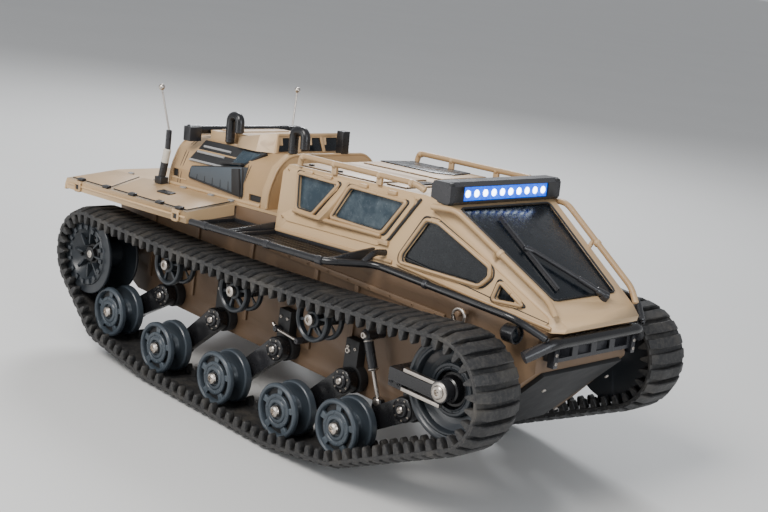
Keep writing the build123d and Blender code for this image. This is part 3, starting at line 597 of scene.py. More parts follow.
def make_swing_arm(i, side):
    """Trailing arm with ringed pivot cap, small cap screws, wheel bolt and axle."""
    k = SIDES[side]
    pivot, axle = PIVOTS[i - 1], WHEELS[i - 1]
    body = f"arm_{i}_{side}"
    arm = Shape()
    one, two = tangent_line(pivot, 8.6, axle, 7.4), tangent_line(axle, 7.4, pivot, 8.6)
    arm.prism([one[0], one[1], two[0], two[1]], 69.5, 76.6)
    for centre, r in ((pivot, 9), (axle, 8)):
        arm.lathe([(0.4, 68.6), (r, 68.6), (r, 76.4), (r - 0.8, 77.3), (0.4, 77.3)],
            (centre[0], 0, centre[1]), 40)
    arm.bevel(0.5, 2, 35)
    arm.lathe([(0.4, 77), (5.2, 77), (5.2, 78.2), (4.5, 79), (3.4, 79), (3, 78.4), (0.4, 78.4)],
        (pivot[0], 0, pivot[1]), 32)
    arm.lathe([(0.4, 52.3), (3.98, 52.3), (3.98, 69), (0.4, 69)], (pivot[0], 0, pivot[1]), 24)
    place = Matrix.Diagonal((1, k, 1, 1))
    arm.finish(f"swing_arm_{i}_{side}_casting", body, BLACK, place, (f"swing_arm_{i}_{side}",))
    steel = Shape()
    steel.lathe([(0.4, 77), (2.98, 77), (2.98, 100), (4.3, 100.2), (4.4, 102.4), (3.7, 103.6),
        (2.1, 104.2), (1.8, 103), (0.4, 102.9)], (axle[0], 0, axle[1]), 28)
    steel.lathe([(0.3, 78.3), (2.7, 78.3), (2.7, 79.3), (2, 80), (1.2, 80), (1, 79.4), (0.3, 79.4)],
        (pivot[0], 0, pivot[1]), 24)
    for a in turns(7, 0.4):
        steel.bolt((pivot[0] + 7 * cos(a), 77.2, pivot[1] + 7 * sin(a)), (0, 1, 0), 0.8, 0.7)
    steel.finish(f"swing_arm_{i}_{side}_bolts", body, STEEL, place)


def make_roller(i, side):
    """Return roller: two rings on thin spokes round a hub."""
    place = spin_place(ROLLERS[i - 1], SIDES[side])
    roller = Shape()
    for y0, y1 in ((80, 84), (92, 97.2)):
        roller.lathe([(13, y0 + 0.4), (15.3, y0), (16, y0 + 0.6), (16, y1 - 0.8), (15.2, y1), (14, y1),
            (13.4, y1 - 0.7), (13, y1 - 1)], steps=56)
        roller.lathe([(3.06, y0), (6.2, y0), (6.2, y1 - 1.4), (5.4, y1 - 0.5), (3.06, y1 - 0.5)], steps=32)
        for a in turns(6, 0.25):
            roller.prism(sector(5.8, 13.4, a - 0.09, a + 0.09, 2), y0 + 1, y1 - 2)
    roller.lathe([(3.06, 83.5), (5.2, 83.5), (5.2, 93), (3.06, 93)], steps=32)
    roller.bevel(0.18, 2, 40)
    roller.finish(f"return_roller_{i}_{side}_rings", f"roller_{i}_{side}", DEEP_SLATE, place,
        (f"return_roller_{i}_{side}",))


def make_sprocket(side):
    """Drive sprocket: carrying rings, dished face with bosses and ribs, hex hub with its bolts."""
    place = spin_place(SPROCKET, SIDES[side])
    body = f"sprocket_{side}"
    wheel = Shape()
    wheel.lathe([(24.6, 102.8), (31.6, 102.8), (32.15, 103.3), (32.15, 105), (31.6, 105.5), (25.2, 105.5),
        (24.8, 106.6), (24, 107), (21.4, 107), (20.6, 106.2), (18.6, 103.4), (9, 97.4), (9, 94), (12, 92),
        (23.2, 99.6)], steps=80)
    wheel.lathe([(4, 77.4), (31.6, 77.4), (32.15, 77.9), (32.15, 79.1), (31.6, 79.6), (12, 79.6), (12, 93),
        (4, 93)], steps=80)
    for a in turns(16):
        wheel.prism(sector(20.6, 24.4, a - 0.07, a + 0.07, 2), 106.5, 108.4)
    for a in turns(8):
        wheel.prism(sector(8.6, 19.4, a - 0.06, a + 0.06, 2), 98, 104.6)
    wheel.bevel(0.25, 2, 40)
    wheel.finish(f"drive_sprocket_{side}_disc", body, DEEP_SLATE, place, (f"drive_sprocket_{side}",))
    hub = Shape()
    hub.lathe([(0.4, 92), (8.6, 92), (8.6, 99.6), (7.8, 100.4), (0.4, 100.4)], steps=40)
    hexagon = [(6.6 * cos(pi * n / 3), 6.6 * sin(pi * n / 3)) for n in range(6)]
    hub.prism(hexagon, 100, 103.4)
    hub.lathe([(0.4, 50.2), (3.98, 50.2), (3.98, 93), (0.4, 93)], steps=24)
    hub.bevel(0.4, 2, 35)
    for a in turns(6, 0.26):
        hub.bolt((14.2 * cos(a), 100.8, 14.2 * sin(a)), (0, 1, 0), 1.3, 1.6)
    hub.finish(f"drive_sprocket_{side}_hub", body, DARK_STEEL, place)
    nut = Shape()
    nut.bolt((0, 103.2, 0), (0, 1, 0), 3.1, 0.75)
    nut.finish(f"drive_sprocket_{side}_nut", body, STEEL, place)


def make_idler(side):
    """Front idler: deep stepped drum with a ringed hub."""
    place = spin_place(IDLER, SIDES[side])
    body = f"idler_{side}"
    wheel = Shape()
    wheel.lathe([(27.4, 92.2), (33.2, 92.2), (33.65, 92.8), (33.65, 96.6), (32.6, 97.9), (30.6, 97.9),
        (29.8, 97), (29, 96.6), (28, 97.4), (27, 97.4), (26.2, 96.2), (25.5, 93.6), (21, 90.4),
        (17.2, 89.8), (17.2, 86), (27.4, 86)], steps=88)
    wheel.lathe([(4.06, 78.2), (33.1, 78.2), (33.65, 78.8), (33.65, 83.4), (33, 84), (29.8, 84),
        (29.8, 92.4), (17, 90), (17, 84), (4.06, 84)], steps=88)
    wheel.lathe([(12.2, 86), (17.4, 86), (17.4, 93), (16.6, 94), (14.9, 94), (14.6, 93.2), (13.6, 93.2),
        (13.2, 94), (12.4, 93.6)], steps=64)
    wheel.bevel(0.25, 2, 40)
    for a in turns(14):
        wheel.bolt((14.1 * cos(a), 93.1, 14.1 * sin(a)), (0, 1, 0), 0.55, 0.5)
    wheel.finish(f"front_idler_{side}_drum", body, DEEP_SLATE, place, (f"front_idler_{side}",))
    hub = Shape()
    hub.lathe([(4.06, 84), (12.4, 84), (12.4, 90.4), (10.8, 91.4), (9.4, 91.4), (8.2, 96.2), (7.2, 97),
        (4.06, 97)], steps=48)
    hub.finish(f"front_idler_{side}_hub", body, BLACK, place)


def make_running_gear():
    for side in SIDES:
        make_belt(side)
        make_sprocket(side)
        make_idler(side)
        for i in range(1, 6):
            make_road_wheel(i, side)
            make_swing_arm(i, side)
        for i in range(1, 4):
            make_roller(i, side)


# ---- lower hull and suspension details
def make_tensioners():
    """Idler tensioner: black arm, a bright two-bar fork and the idler's turned bolt."""
    x, z = IDLER
    black = Shape().box((152, 79.5, z - 6), (12, 39, 13)).box(((x + 148) / 2, 100.2, z - 3),
        (x - 148, 3, 8.6))
    black.bevel(0.7, 3)
    black.lathe([(4, 97.6), (7, 97.6), (7, 104.6), (4, 104.6)], (x, 0, z), 40)
    for dx in (-3.4, 3.4):
        black.bolt((152 + dx, 99, z - 9), (0, 1, 0), 1.4, 0.9)
    black.mirrored().finish("tensioner_arms", "hull", BLACK, replaces=("idler_tensioners",))
    bright = Shape()
    for low, start in ((2.2, x - 33), (-10.6, x - 33)):
        bright.prism([(start, z + low), (x + 0.5, z + low), (x + 0.5, z + low + 2.6),
            (start, z + low + 2.6)], 100, 103.4)
    bright.bevel(0.6, 3)
    bright.lathe([(0.4, 60.2), (3.95, 60.2), (3.95, 104.4), (0.4, 104.4)], (x, 0, z), 28)
    bright.lathe([(0.4, 104), (6.4, 104), (6.4, 104.8), (5.9, 105.2), (4.5, 105.4), (4.4, 106.2),
        (3.6, 107), (2.1, 107), (1.7, 105.8), (0.4, 105.8)], (x, 0, z), 44)
    bright.mirrored().finish("tensioner_forks", "hull", STEEL)


def make_roller_bolts():
    """Bosses on the hull walls and the steel bolts that carry the return rollers."""
    boss, bolt = Shape(), Shape()
    for x, z in ROLLERS:
        boss.lathe([(3, 60.1), (6, 60.1), (6, 78.2), (5.3, 79), (3, 79)], (x, 0, z), 32)
        bolt.lathe([(0.4, 60.1), (2.98, 60.1), (2.98, 98), (4.1, 98), (4.2, 98.6), (3.9, 99.6), (3.2, 100),
            (1.9, 100), (1.6, 98.9), (0.4, 98.9)], (x, 0, z), 32)
    boss.mirrored().finish("roller_bosses", "hull", MATT_BLACK, replaces=("roller_axles",))
    bolt.mirrored().finish("roller_bolts", "hull", STEEL)


def make_dampers():
    """Front damper on each side, its rod on the front arm, and the short bar over the third pivot."""
    top, foot = Vector((98.7, 74, 96.5)), Vector((117.2, 74, 54.6))
    run = (foot - top).normalized()
    for side, k in SIDES.items():
        mirror = Matrix.Diagonal((1, k, 1, 1))
        sleeve = Shape().tube([top - run * 2, top + run * 24], 3.3, steps=24)
        sleeve.lathe([(0.4, 60.2), (4, 60.2), (4, 76), (3.2, 77), (0.4, 77)], (top.x, 0, top.z), 28)
        sleeve.lathe([(0.4, 60.2), (3.4, 60.2), (3.4, 66), (2.6, 67), (0.4, 67)], (75.6, 0, 77), 28)
        for x, z in ((3.5, 71), (27.6, 69)):
            sleeve.lathe([(0.4, 60.2), (2.6, 60.2), (2.6, 72), (2, 73), (0.4, 73)], (x, 0, z), 24)
        sleeve.finish(f"damper_sleeve_{side}", "hull", BLACK, mirror)
        collar = Shape()
        for reach in (3, 22.4):
            at = top + run * reach
            collar.tube([at, at + run * 2.4], 3.7, steps=28)
        collar.bolt((top.x, 77, top.z), (0, 1, 0), 2.6, 1.6).bolt((75.6, 67, 77), (0, 1, 0), 2.4, 1.4)
        collar.tube([(-1, 71, 74.4), (3.5, 71, 71), (28.4, 71, 68.9)], 1.3, 3, 18)
        collar.finish(f"damper_collars_{side}", "hull", STEEL, mirror)
        rod = Shape().tube([top + run * 20, foot], 1.5, steps=20)
        rod.lathe([(0.3, 71), (3, 71), (3, 76.4), (2.4, 77), (0.3, 77)], (foot.x, 0, foot.z), 24)
        rod.finish(f"damper_rod_{side}", f"arm_5_{side}", STEEL, mirror)
        ear = Shape().prism([(113.6, 57), (120.8, 57), (126, 46), (112, 38)], 72, 76).bevel(0.5)
        ear.finish(f"damper_ear_{side}", f"arm_5_{side}", BLACK, mirror)


def make_lower_hull():
    """Lower hull with ribs and rear cover, pivot housings, skid plate, tow rings and inner parts."""
    # The tub, rear service cover and ribs below use the darkened sand, which is painted shade.
    refined("hull_tub", SHADED_SAND, 0.5, angle=40)
    refined("suspension_towers", MATT_BLACK, 0.6)
    refined("skid_plate", MATT_BLACK, 0.4)
    cover, screws = Shape(), Shape()
    low, high = Vector((-217.2, 0, 74)), Vector((-221.8, 0, 122))
    cover.loft([[p + Vector((dx, y, 0)) for p, y in ((low, -42), (low, 42), (high, 42), (high, -42))]
        for dx in (2, -1.6)]).bevel(0.6, 3, 35)
    cover.finish("rear_service_cover", "hull", SHADED_SAND)
    for t in (0.1, 0.9):
        for y in (8, 38):
            screws.bolt(low.lerp(high, t) + Vector((-1.5, y, 0)), (-1, 0, 0), 1.5, 1)
    screws.mirrored().finish("rear_cover_screws", "hull", STEEL)
    refined("battery_pack", WRAP, 0.8)
    refined("control_board", BOARD, 0.2)
    refined("drive_motors", DARK_STEEL, 0.3)
    for side in SIDES:
        refined(f"tow_ring_{side}", STEEL, 0.7, 3)
    ribs = Shape()
    for x in (-170, -112, -45, 28, 70):
        ribs.box((x, 61, 92), (4, 2, 60))
    ribs.box((-12, 61, 124), (330, 2, 4))
    ribs.bevel(0.5)
    for n in range(16):
        ribs.bolt((-170 + n * 21, 61.8, 124), (0, 1, 0), 1.2, 0.8)
    ribs.mirrored().finish("hull_ribs", "hull", SHADED_SAND)
    heads = Shape()
    for x, z in PIVOTS:
        for dx, dz in ((-6.6, 22), (0.6, 22)):
            heads.bolt((x + dx, 67.4, z + dz), (0, 1, 0), 1.3, 1)
    for y in (-34, 34):
        for t in (0.18, 0.82):
            low, high = Vector((172, y, 49.2)), Vector((228.5, y, 105.5))
            heads.bolt(low.lerp(high, t) + Vector((2.6, 0, -2.6)), (1, 0, -1), 1.6, 1)
    heads.mirrored().finish("tower_bolts", "hull", STEEL)


# ---- body, drawn level and then raked
DECK_TOP, COVER_TOP = 152.0, 191.0
DOOR_WINDOWS = (((10, 184.5), (50, 183.5), (28, 160.5), (13, 161)),
    ((64.5, 183.5), (116, 182.5), (98, 160), (50, 161)))
FRONT_WINDOWS = (((137, 173), (146, 172), (184, 152), (184.5, 146), (178, 139.5), (122, 143.5),
    (122, 148.5)), ((195, 142.5), (210, 132.4), (192, 132.4)))
SCREEN_TOP, SCREEN_FOOT = Vector((148.4, 0, 185.8)), Vector((236, 0, 130.2))
UP_SLOPE = (SCREEN_TOP - SCREEN_FOOT).normalized()
SCREEN_OUT = Vector((-UP_SLOPE.z, 0, UP_SLOPE.x)) * -1
HATCHES = ((3, 84, 8, 57), (90, 108, 10, 54))
INTAKE = ((-125, 161.5), (-123, 170), (-61, 178.5), (-58, 156.5))
HEADLIGHT = (62.0, 117.5)


def door_wall(x, z, lift=0.0):
    """Point on the left door wall, lifted outward."""
    return Vector((x, 64.5 - 0.09 * (z - 140) + lift, z))


def nose_wall(x, z, lift=0.0):
    """Point on the left wall of the nose, lifted outward."""
    return Vector((x, 94.7 - 0.2107 * x - 0.0382 * z + lift, z))


def on_screen(across, up, lift=0.0):
    """Point on the windshield plane, with up measured along the slope from the header."""
    return SCREEN_TOP + UP_SLOPE * up + SCREEN_OUT * lift + Vector((0, across, 0))


def grown(outline, size):
    """Outline with each point pushed away from its middle."""
    middle = Vector((sum(p[0] for p in outline) / len(outline), sum(p[1] for p in outline) / len(outline)))
    out = []
    for p in outline:
        away = (Vector(p) - middle).normalized()
        out.append(tuple(Vector(p) + away * size))
    return out


def looped(points):
    """Closed run of points, starting and ending in the middle of its first side."""
    start = (points[0] + points[1]) / 2
    return [start] + points[1:] + [points[0], start]


def make_cab():
    """Cab shell with its windows, gaskets, hinges, scoop, hatches and edge beads."""
    refined("cab_shell", SAND, 0.35, angle=35)
    refined("windshield", SCREEN_GLASS, 0.3)
    gaskets, trim = Shape(), Shape()
    for name, material, wall, windows in (("door_panes", SIDE_GLASS, door_wall, DOOR_WINDOWS),
            ("nose_panes", SCREEN_GLASS, nose_wall, FRONT_WINDOWS)):
        panes = Shape()
        for window in windows:
            outline = round_path(looped([wall(x, z) for x, z in window]), 2)[1:]
            panes.loft([[p + Vector((0, h, 0)) for p in outline] for h in (-1.9, -0.5)])
            gaskets.tube(looped([wall(x, z, 1.9) for x, z in window]), 0.55, 2.2, 10)
            gaskets.tube(looped([wall(x, z, 0.8) for x, z in grown(window, 4.4)]), 0.62, 3, 8)
            trim.tube(looped([wall(x, z, 1.7) for x, z in grown(window, 2.1)]), 1.35, 3, 12)
        panes.pair(name, material, ("side_windows",))
    gaskets.tube([door_wall(129.5, 187, 0.5), door_wall(106, 155, 0.5), door_wall(99, 151.6, 0.5)], 0.95,
        4, 10)
    trim.tube([door_wall(9, 158.4, 1.6), door_wall(28, 157.6, 2.4), door_wall(50, 157.2, 2.6),
        door_wall(99, 157, 1.6)], 1.7, 6, 16)
    gaskets.tube([nose_wall(120, 147, 0.7), nose_wall(196, 131, 0.7), nose_wall(230, 124.5, 0.5)], 0.35, 2,
        8)
    corners = [(-47, -4), (47, -4), (33, -91.4), (-33, -91.4)]
    gaskets.tube(looped([on_screen(a, u, 0.5) for a, u in corners]), 0.7, 4, 12)
    gaskets.pair("gaskets", MATT_BLACK)
    for x in (20, 40, 76, 104):
        trim.tube([door_wall(x - 4, 186.8, 1.5), door_wall(x + 4, 186.8, 1.5)], 1.7, steps=18)
    trim.tube([nose_wall(139, 175, 1.4), nose_wall(146, 174.4, 1.4)], 1.5, steps=18)
    sill = [door_wall(-8, 141.2, 0.2), door_wall(112, 141.2, 0.2)]
    nose = [nose_wall(117, 141.4, 0.3), nose_wall(160, 133.4, 0.3), nose_wall(232, 121, 0.2)]
    trim.tube(sill, 1.5, steps=16)
    trim.tube(nose, 1.5, 3, 16)
    for x0, x1, y0, y1 in HATCHES:
        trim.box(((x0 + x1) / 2, (y0 + y1) / 2, 190.3), (x1 - x0, y1 - y0, 1.4))
    fin = []
    for t in (0, 0.25, 0.5, 0.75, 1):
        x, z, wide, lift = 60.5 - 21 * t ** 1.2, 187 - 29.5 * t, 1.6 + 5.4 * t, 1.4 + 5 * t ** 1.5
        fin.append([door_wall(x - wide, z, 0.2), door_wall(x - wide * 0.5, z, lift),
            door_wall(x + wide * 0.3, z, lift), door_wall(x + wide, z, 0.2)])
    trim.loft(fin)
    trim.box((102, door_wall(102, 153).y + 1.2, 153), (9, 2, 3.2))
    trim.bevel(0.4, 2, 40)
    for x, z in ((-3, 186), (-3, 152), (99, 152.2), (126, 186)):
        trim.bolt(door_wall(x, z, 0.6), (0, 1, 0), 1.1, 0.7)
    trim.pair("cab_trim", SAND)
    dark = Shape()
    for x0, x1, y0, y1 in HATCHES:
        ring = [Vector((x, y, 190.1)) for x, y in ((x0, y0), (x1, y0), (x1, y1), (x0, y1))]
        dark.tube(looped(ring), 0.45, 1.5, 8)
    for x in (12, 42):
        dark.box((x, 53, 191.6), (3, 3, 1))
    dark.pair("roof_fittings", MATT_BLACK)
    panes = Shape()
    for corners in (((2, 27), (60, 24), (74, 33), (70, 55), (10, 55)),
            ((93, 16), (104, 18), (104, 48), (93, 44)), ((95, -20), (104, -18), (104, -44), (95, -40))):
        panes.loft([[Vector((x, y, h)) for x, y in corners] for h in (190, 191.9)])
    panes.bevel(0.4).single("roof_panes", SCREEN_GLASS)


def make_wiper():
    """Wiper: motor block, hinged arm and a rubber blade in its holder."""
    across, foot = 15, -95.46
    wiper = Shape()
    wiper.tube([on_screen(across, foot, -3), on_screen(across, foot, 4.2)], 3.1, steps=28)
    wiper.tube([on_screen(across + 3, foot - 1, 2.6), on_screen(across - 4, foot + 6, 2.8)], 2.6, steps=18)
    wiper.tube([on_screen(across, foot, 3), on_screen(across - 12, -78, 3.2)], 2, steps=16)
    wiper.tube([on_screen(across - 10, -81, 3.2), on_screen(-19.7, -46, 3)], 1.5, steps=14)
    wiper.tube([on_screen(-16.8, -50, 2.6), on_screen(-22.6, -46, 2.6)], 1.7, steps=14)
    for inset, low, high in ((1.5, 0.5, 1.4), (0.9, 1.4, 2.9)):
        wiper.loft([[on_screen(x + a, u, h) for a, h in ((-inset, low), (inset, low), (inset, high),
            (-inset, high))] for x, u in ((-18.3, -16), (-20.6, -50), (-22.8, -84))])
    wiper.finish("wiper_arm", "wiper", BLACK, RAKE, ("wiper",))


def arch(x, lift=0.0, steps=6):
    """Points over the engine cover's arched section at x, rounded at the shoulders."""
    half = [(57.5, DECK_TOP), (56.5, 166), (49, 183), (38, COVER_TOP)]
    left = [Vector((x, y + lift, z + (lift if z == COVER_TOP else lift * 0.4))) for y, z in half]
    return round_path([Vector((x, -p.y, p.z)) for p in left] + left[::-1], 7, steps)


def make_engine_cover():
    """Engine cover with seams, rims, beads, shoulder vents and dark side intakes."""
    refined("engine_cover", SAND, 0.3, angle=40)
    refined("side_intakes", SLATE, 0.3)
    seams = Shape()
    for x in (-140.6, -137.4, -61.6, -58.8):
        seams.tube(arch(x, -0.1), 0.4, 0, 8)
    seams.single("cover_seams", MATT_BLACK)
    rim = Shape().tube(arch(-28, 1), 1.3, 0, 14).tube(arch(-151.2, 0), 0.9, 0, 12)
    half = Shape().tube([(-150, 57.8, 153), (-36, 57.8, 153)], 1.5, steps=16)
    half.tube([(-150, 56.9, 158), (-130, 56.9, 158)], 0.6, steps=10)
    half.pair("cover_beads", SAND)
    rim.single("cover_rims", SAND)
    black, bright, glass = Shape(), Shape(), Shape()
    low, high = Vector((0, 53.6, 174)), Vector((0, 42.2, 190.4))
    out = Vector((0, 0.84, 0.543))

    def panel(shape, x0, x1, t0, t1, base, top):
        """Plate on the cover's shoulder, leaning forward at the top."""
        corners = [(x0 + 6 * t0, t0), (x1 + 22 * t0, t0), (x1 + 22 * t1, t1), (x0 + 6 * t1, t1)]
        shape.loft([[low.lerp(high, t) + Vector((x, 0, 0)) + out * h for x, t in corners]
            for h in (base, top)])

    panel(black, -131, -72, 0.02, 0.98, -1.5, 1.2)
    for t, x in ((0.4, -126), (0.68, -122)):
        ends = [low.lerp(high, t) + Vector((x, 0, 0)) + out * 1.7,
            low.lerp(high, t) + Vector((x + 34, 0, 0)) + out * 1.5]
        bright.tube(ends, 1.0, steps=16)
    panel(glass, -82, -74, 0.12, 0.88, 1, 1.7)
    panel(bright, -131, -72, -0.03, 0.05, -1, 1.5)
    outline = [Vector((x, 58.4 - 0.08 * (z - 160), z)) for x, z in INTAKE]
    black.tube(looped(outline), 0.8, 2.5, 14)
    foot, head = Vector((-125, 58.1, 161.5)), Vector((-123, 57.4, 170))
    along_low, along_high, thick = Vector((67, 0, -5)), Vector((62, 0, 8.5)), Vector((0, 0.7, 0))
    for k in range(5):
        start = 0.14 + 0.15 * k
        rows = [(foot + along_low * t, head + along_high * t, head + along_high * (t + 0.008) + thick,
            foot + along_low * (t + 0.008) + thick) for t in (start, start + 0.012)]
        black.loft(rows)
    black.prism([(-68, 157.6), (-58.6, 157.2), (-61.6, 177.6), (-70, 176.4)], 56.5, 60.4)
    black.prism([(-90, 177.4), (-64, 179.8), (-64, 181.2), (-90, 178.8)], 53, 56.4)
    black.box((-145, 54.5, 162), (7, 2, 6)).box((-44, 54.5, 157.5), (14, 2, 5))
    black.bevel(0.25, 2, 40)
    black.pair("cover_vents", MATT_BLACK)
    bright.pair("cover_brightwork", SILVER)
    glass.bevel(0.3).pair("vent_glass", SIDE_GLASS)


DECK_TILT = Matrix.Rotation(radians(-6.3), 4, "X")


def deck_point(x, t, lift=0.0):
    """Point on the sloping deck, from its inner edge at t 0 to its outer edge at t 1."""
    return Vector((x, 57.5 + 49.5 * t, DECK_TOP - 5.5 * t + lift))


def make_deck():
    """Rear deck with its panels, seams, latches, tie-down loops with painted shade in their holes, and
    rear plate.
    """
    refined("rear_deck", SAND, 0.4, angle=35)
    panels, dark, bright, black = Shape(), Shape(), Shape(), Shape()
    for x0, x1, skew in ((-221, -186, 22), (-180, -66, 0)):
        corners = [(x0, 0.1), (x1, 0.1), (x1 + skew * 0.8, 0.92), (x0, 0.92)]
        if not skew:
            corners = [(x0, 0.1), (x1, 0.1), (x1, 0.92), (x0 + 18, 0.92)]
        panels.loft([[deck_point(x, t, h) for x, t in corners] for h in (-0.6, 0.8)])
        dark.tube(looped([deck_point(x, t, 0.1) for x, t in corners]), 0.55, 1.2, 8)
    panels.bevel(0.35, 2, 40)
    panels.tube([(-222, 107, 142.2), (-62, 107, 142.2)], 0.9, steps=12)
    for x in (-206, -170, -134, -98, -73):
        black.box(deck_point(x, 0.95, 0.9), (7, 4.2, 2.2), DECK_TILT)
        bright.box(deck_point(x + 6, 0.07, 0.9), (5, 3.2, 1.4), DECK_TILT)
    black.box(deck_point(-121, 0.5, 1.3), (16, 7, 1.2), DECK_TILT)
    black.bevel(0.4).pair("deck_latches", BLACK)
    bright.bevel(0.3)
    for x in (-206, -73):
        ring = [Vector((x + dx, 108.2, z)) for dx, z in ((-3.4, 144.4), (3.4, 144.4), (3.4, 138.6),
            (-3.4, 138.6))]
        panels.tube(looped(ring), 1.1, 1.5, 12)
        panels.box((x, 107.5, 145.6), (9, 1.6, 1.6))
        # Dark block inside each loop: painted shade of the hole.
        dark.box((x, 107.5, 141.5), (4.6, 1.2, 4))
    bright.pair("deck_hinges", SILVER)
    panels.pair("deck_panels", SAND)
    dark.pair("deck_seams_and_hole_shade", MATT_BLACK)
    end = Shape().prism([(-66, 145.4), (66, 145.4), (57.5, 151.4), (-57.5, 151.4)], -223.8, -221.6, "YZ")
    end.bevel(0.3).single("deck_rear_panel", SAND)


def make_lookout():
    """Raised lookout: dark panes between slanted posts, a thin roof edge and a rear lid."""
    refined("roof_lookout", SAND, 0.5, 3)
    glass, trim = Shape(), Shape()
    for y0, y1 in ((-35, -14), (-12, 12), (14, 35)):
        glass.loft([[Vector((x, y0 * k, z)), Vector((x, y1 * k, z)), Vector((x - 3, y1 * k, z)),
            Vector((x - 3, y0 * k, z))] for x, z, k in ((-47.6, 192, 1), (-51.2, 203, 0.9))])
    glass.bevel(0.25).single("lookout_panes", SCREEN_GLASS)
    for y in (-36, -13, 13, 36):
        trim.loft([[Vector((x + dx, y * k + dy, z)) for dx, dy in ((-3, -1.4), (1.1, -1.4), (1.1, 1.4),
            (-3, 1.4))] for x, z, k in ((-47.6, 191.3, 1), (-51.6, 204, 0.88))])
    trim.box((-52.6, 0, 204), (5, 66, 1.8), Matrix.Rotation(radians(-11.3), 4, "Y"))
    trim.box((-116.5, 0, 198.9), (14, 60, 1.2)).bevel(0.4)
    trim.single("lookout_posts", SAND)


def make_roof_gear():
    """Snorkels, antennas, crossbar, roof rails and pillar guards."""
    pipes = Shape()
    pipes.tube([(-102, -38, 191.3), (-102, -38, 213), (-91, -38, 213), (-91, -38, 200.2)], 3.7, 6, 24)
    pipes.tube([(-32, -33, 192.5), (-32, -33, 211), (-19, -33, 211), (-19, -33, 197.2)], 3.7, 6, 24)
    for x, y, z in ((-102, -38, 194), (-32, -33, 195)):
        pipes.tube([(x, y, z), (x, y, z + 2)], 4, steps=24)
    pipes.single("snorkel_pipes", BLACK, ("snorkels",))
    Shape().box((-30, 16, 201.4), (7.6, 7.6, 17.6)).bevel(0.9, 3).single("vent_stack", BLACK)
    bar = Shape().tube([(-132, -57.6, 198), (-132, 57.6, 198)], 3.5, steps=28)
    for y in (-52, 52):
        bar.box((-132, y, 195), (8.6, 11.6, 11.6))
    bar.bevel(0.5, 2, 50)
    bar.tube([(-132, -57, 198), (-132, -46, 198)], 4.2, steps=28)
    bar.single("crossbar", BLACK, ("rear_crossbar",))
    base, sleeve, rod = Shape(), Shape(), Shape()
    base.box((-152, 65, 154.8), (8.6, 7.6, 5.8)).bevel(0.7)
    base.tube([(-152, 65, 156), (-149, 64.8, 170)], 3.1, steps=24)
    sleeve.tube([(-149.2, 64.8, 169), (-146.5, 64.6, 181)], 3.0, steps=24)
    base.tube([(-146.6, 64.6, 180), (-145.8, 64.8, 196)], 2.3, steps=24)
    rod.tube([(-145.8, 64.8, 195), (-150, 71, 228)], 0.75, steps=14)
    rod.lathe([(0.05, 227), (1.4, 227.3), (2.3, 228.3), (2.55, 229.5), (2.3, 230.7), (1.4, 231.7),
        (0.05, 232)], (-150, 71.3, 0), 28, "Z")
    base.pair("antenna_bases", BLACK, ("antennas",))
    sleeve.pair("antenna_sleeves", CREAM)
    rod.pair("antenna_rods", STEEL)
    rails = Shape().tube([(8.5, 61, 191), (10, 61.5, 198), (122, 60.8, 196.4), (130, 58, 192.6)], 2.15, 5,
        20)
    for x in (45, 90):
        rails.box((x, 61, 193.9), (4.8, 2.2, 7.4))
    rails.bevel(0.3, 2, 60)
    for x in (12, 45, 90, 120):
        rails.tube([(x - 1.6, 61.4, 197.6 - 0.014 * x), (x + 1.6, 61.4, 197.6 - 0.014 * x)], 2.6, steps=20)
    rails.pair("roof_rail_tubes", SAND, ("roof_rails",))
    guards = Shape().tube([(140, 61.9, 184), (159, 58.4, 184.3), (230, 45.2, 139.5), (236, 43.6, 130.2)],
        2.15, 6, 20)
    guards.tube([(190, 52.6, 164.6), (188, 50, 158)], 1.6, steps=14)
    guards.tube([(192, 52.3, 163.4), (195, 51.7, 161.5)], 2.7, steps=20)
    guards.pair("pillar_guard_tubes", SAND, ("pillar_guards",))


def make_light_bar():
    """Roof light bar with rounded ends, ten ringed lamps and a clear lens strip."""
    refined("light_bar", BLACK, 0)
    ends, glow, lamps = Shape(), Shape(), Shape()
    for y in (-55.6, 55.6):
        ends.box((143.6, y, 193.4), (16.6, 4.6, 14.6))
    ends.bevel(1.6, 4)
    for y in (-45.6, 45.6):
        ends.box((151, y, 193.3), (1.8, 2.4, 11))
    for y in (-58, 58):
        ends.bolt((143.5, y * 0.995, 193.4), (0, y, 0), 1.8, 0.25)
    ends.single("light_bar_ends", MATT_BLACK)
    glow.box((150.2, 0, 193.2), (1.2, 88.8, 9.4)).bevel(0.3)
    for n in range(10):
        y = (n - 4.5) * 8.8
        glow.lathe([(2.5, 150.4), (3.6, 150.4), (3.6, 151.2), (3.2, 151.5), (2.5, 151.1)], (0, y, 193.2),
            28, "X")
        lamps.lathe([(0.05, 150.4), (2.4, 150.4), (2.4, 151.1), (1.6, 151.6), (0.05, 151.8)],
            (0, y, 193.2), 24, "X")
    glow.single("lamp_strip", LAMP_GLOW, ("light_bar_lamps",))
    lamps.single("lamps", LAMP)


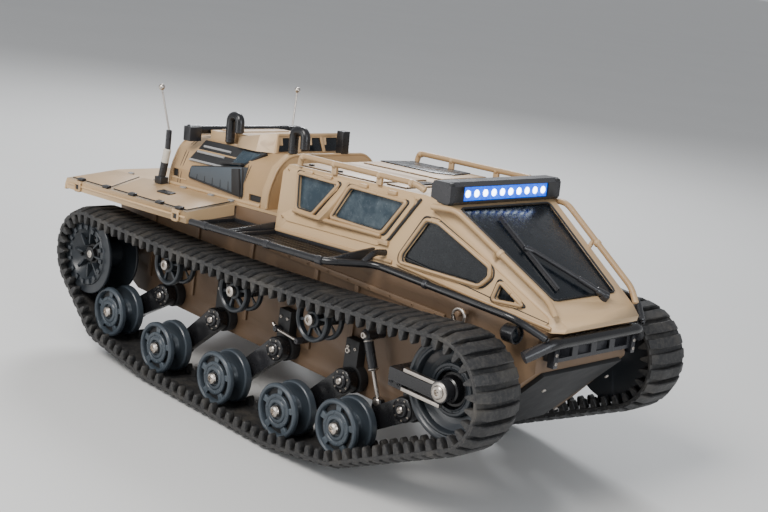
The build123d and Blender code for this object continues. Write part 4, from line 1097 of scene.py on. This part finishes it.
def make_steps():
    """Side steps: glossy rails, perforated treads with raised edges, gussets and bracket loops."""
    rail = [(-58, 105, 140), (88, 105, 140), (110, 78, 140), (222, 66, 128), (237, 52, 117)]
    steps = Shape().tube(rail, 2.45, 8, 22)
    for x in (-40, 30, 84):
        steps.tube([(x - 3, 105, 140), (x + 3, 105, 140)], 3, steps=20)
    steps.tube([(150, 73.7, 135.7), (154, 73.3, 135.3)], 3.1, steps=20).bolt((237.5, 51.8, 117),
        (1, -1, -1), 1.6, 1.2)
    for x0, x1 in ((-57, -15), (-9, 88)):
        for y in (65, 101):
            steps.box(((x0 + x1) / 2, y, 139), (x1 - x0, 1.6, 4))
        for x in (x0 + 0.8, x1 - 0.8):
            steps.box((x, 83, 139), (1.6, 36, 4))
    for x, lift in ((-13, 0), (92, 2)):
        steps.loft([[Vector((x + dx, 61, z + lift)) for dx, z in ((0, 137.4), (2.6, 137.4), (2.6, 146),
            (0, 146))], [Vector((x - 8 + dx, 103, z)) for dx, z in ((0, 137.4), (2.6, 137.4), (2.6, 141),
            (0, 141))]])
    steps.bevel(0.35, 2, 50)
    steps.tube([(104, 61.5, 146), (104, 74, 147), (104, 84, 141)], 2.2, 4, 16)
    steps.pair("step_rails", BLACK, ("side_steps",))
    treads = Shape()
    for x0, x1 in ((-57, -15), (-9, 88)):
        rows, ribs = 6, round((x1 - x0) / 3)
        for k in range(rows + 1):
            treads.box(((x0 + x1) / 2, 65 + 36 * k / rows, 137.8), (x1 - x0, 2.2, 1.1))
        for k in range(ribs + 1):
            treads.box((x0 + (x1 - x0) * k / ribs, 83, 137.9), (1.5, 36, 1.2))
    treads.bevel(0.2, 1, 60).pair("step_treads", DARK_STEEL)


def make_front_gear():
    """Headlights with reflectors and lenses, bumper with its grille box and bolts."""
    case, bowl, lens = Shape(), Shape(), Shape()
    y, z = HEADLIGHT
    case.lathe([(0.4, 211.2), (4.2, 211.2), (6, 213.6), (6.25, 218), (6.25, 222), (5.8, 222.5),
        (5.2, 222.5), (5, 221.8), (4.9, 219), (0.4, 217)], (0, y, z), 44, "X")
    case.box((216, 55.65, z), (6, 4.6, 4))
    bowl.lathe([(0.05, 217.2), (1.8, 217.6), (4.7, 220.4), (4.8, 220.9), (4.4, 220.8), (0.05, 218)],
        (0, y, z), 40, "X")
    lens.lathe([(0.05, 220.9), (4.8, 220.9), (4.8, 221.4), (3, 222), (0.05, 222.3)], (0, y, z), 36, "X")
    case.pair("headlight_cases", BLACK, ("headlights",))
    bowl.pair("headlight_bowls", STEEL)
    lens.pair("headlight_lenses", SCREEN_GLASS)
    refined("front_bumper", BLACK, 0.45)
    bolts = Shape()
    for z in (100.3, 106):
        bolts.bolt((238.9, 42, z), (1, 0, 0), 1.2, 0.8)
    bolts.pair("bumper_bolts", STEEL)


make_camera()
make_stage()
make_running_gear()
make_tensioners()
make_roller_bolts()
make_dampers()
make_lower_hull()
make_cab()
make_wiper()
make_engine_cover()
make_deck()
make_lookout()
make_roof_gear()
make_light_bar()
make_steps()
make_front_gear()
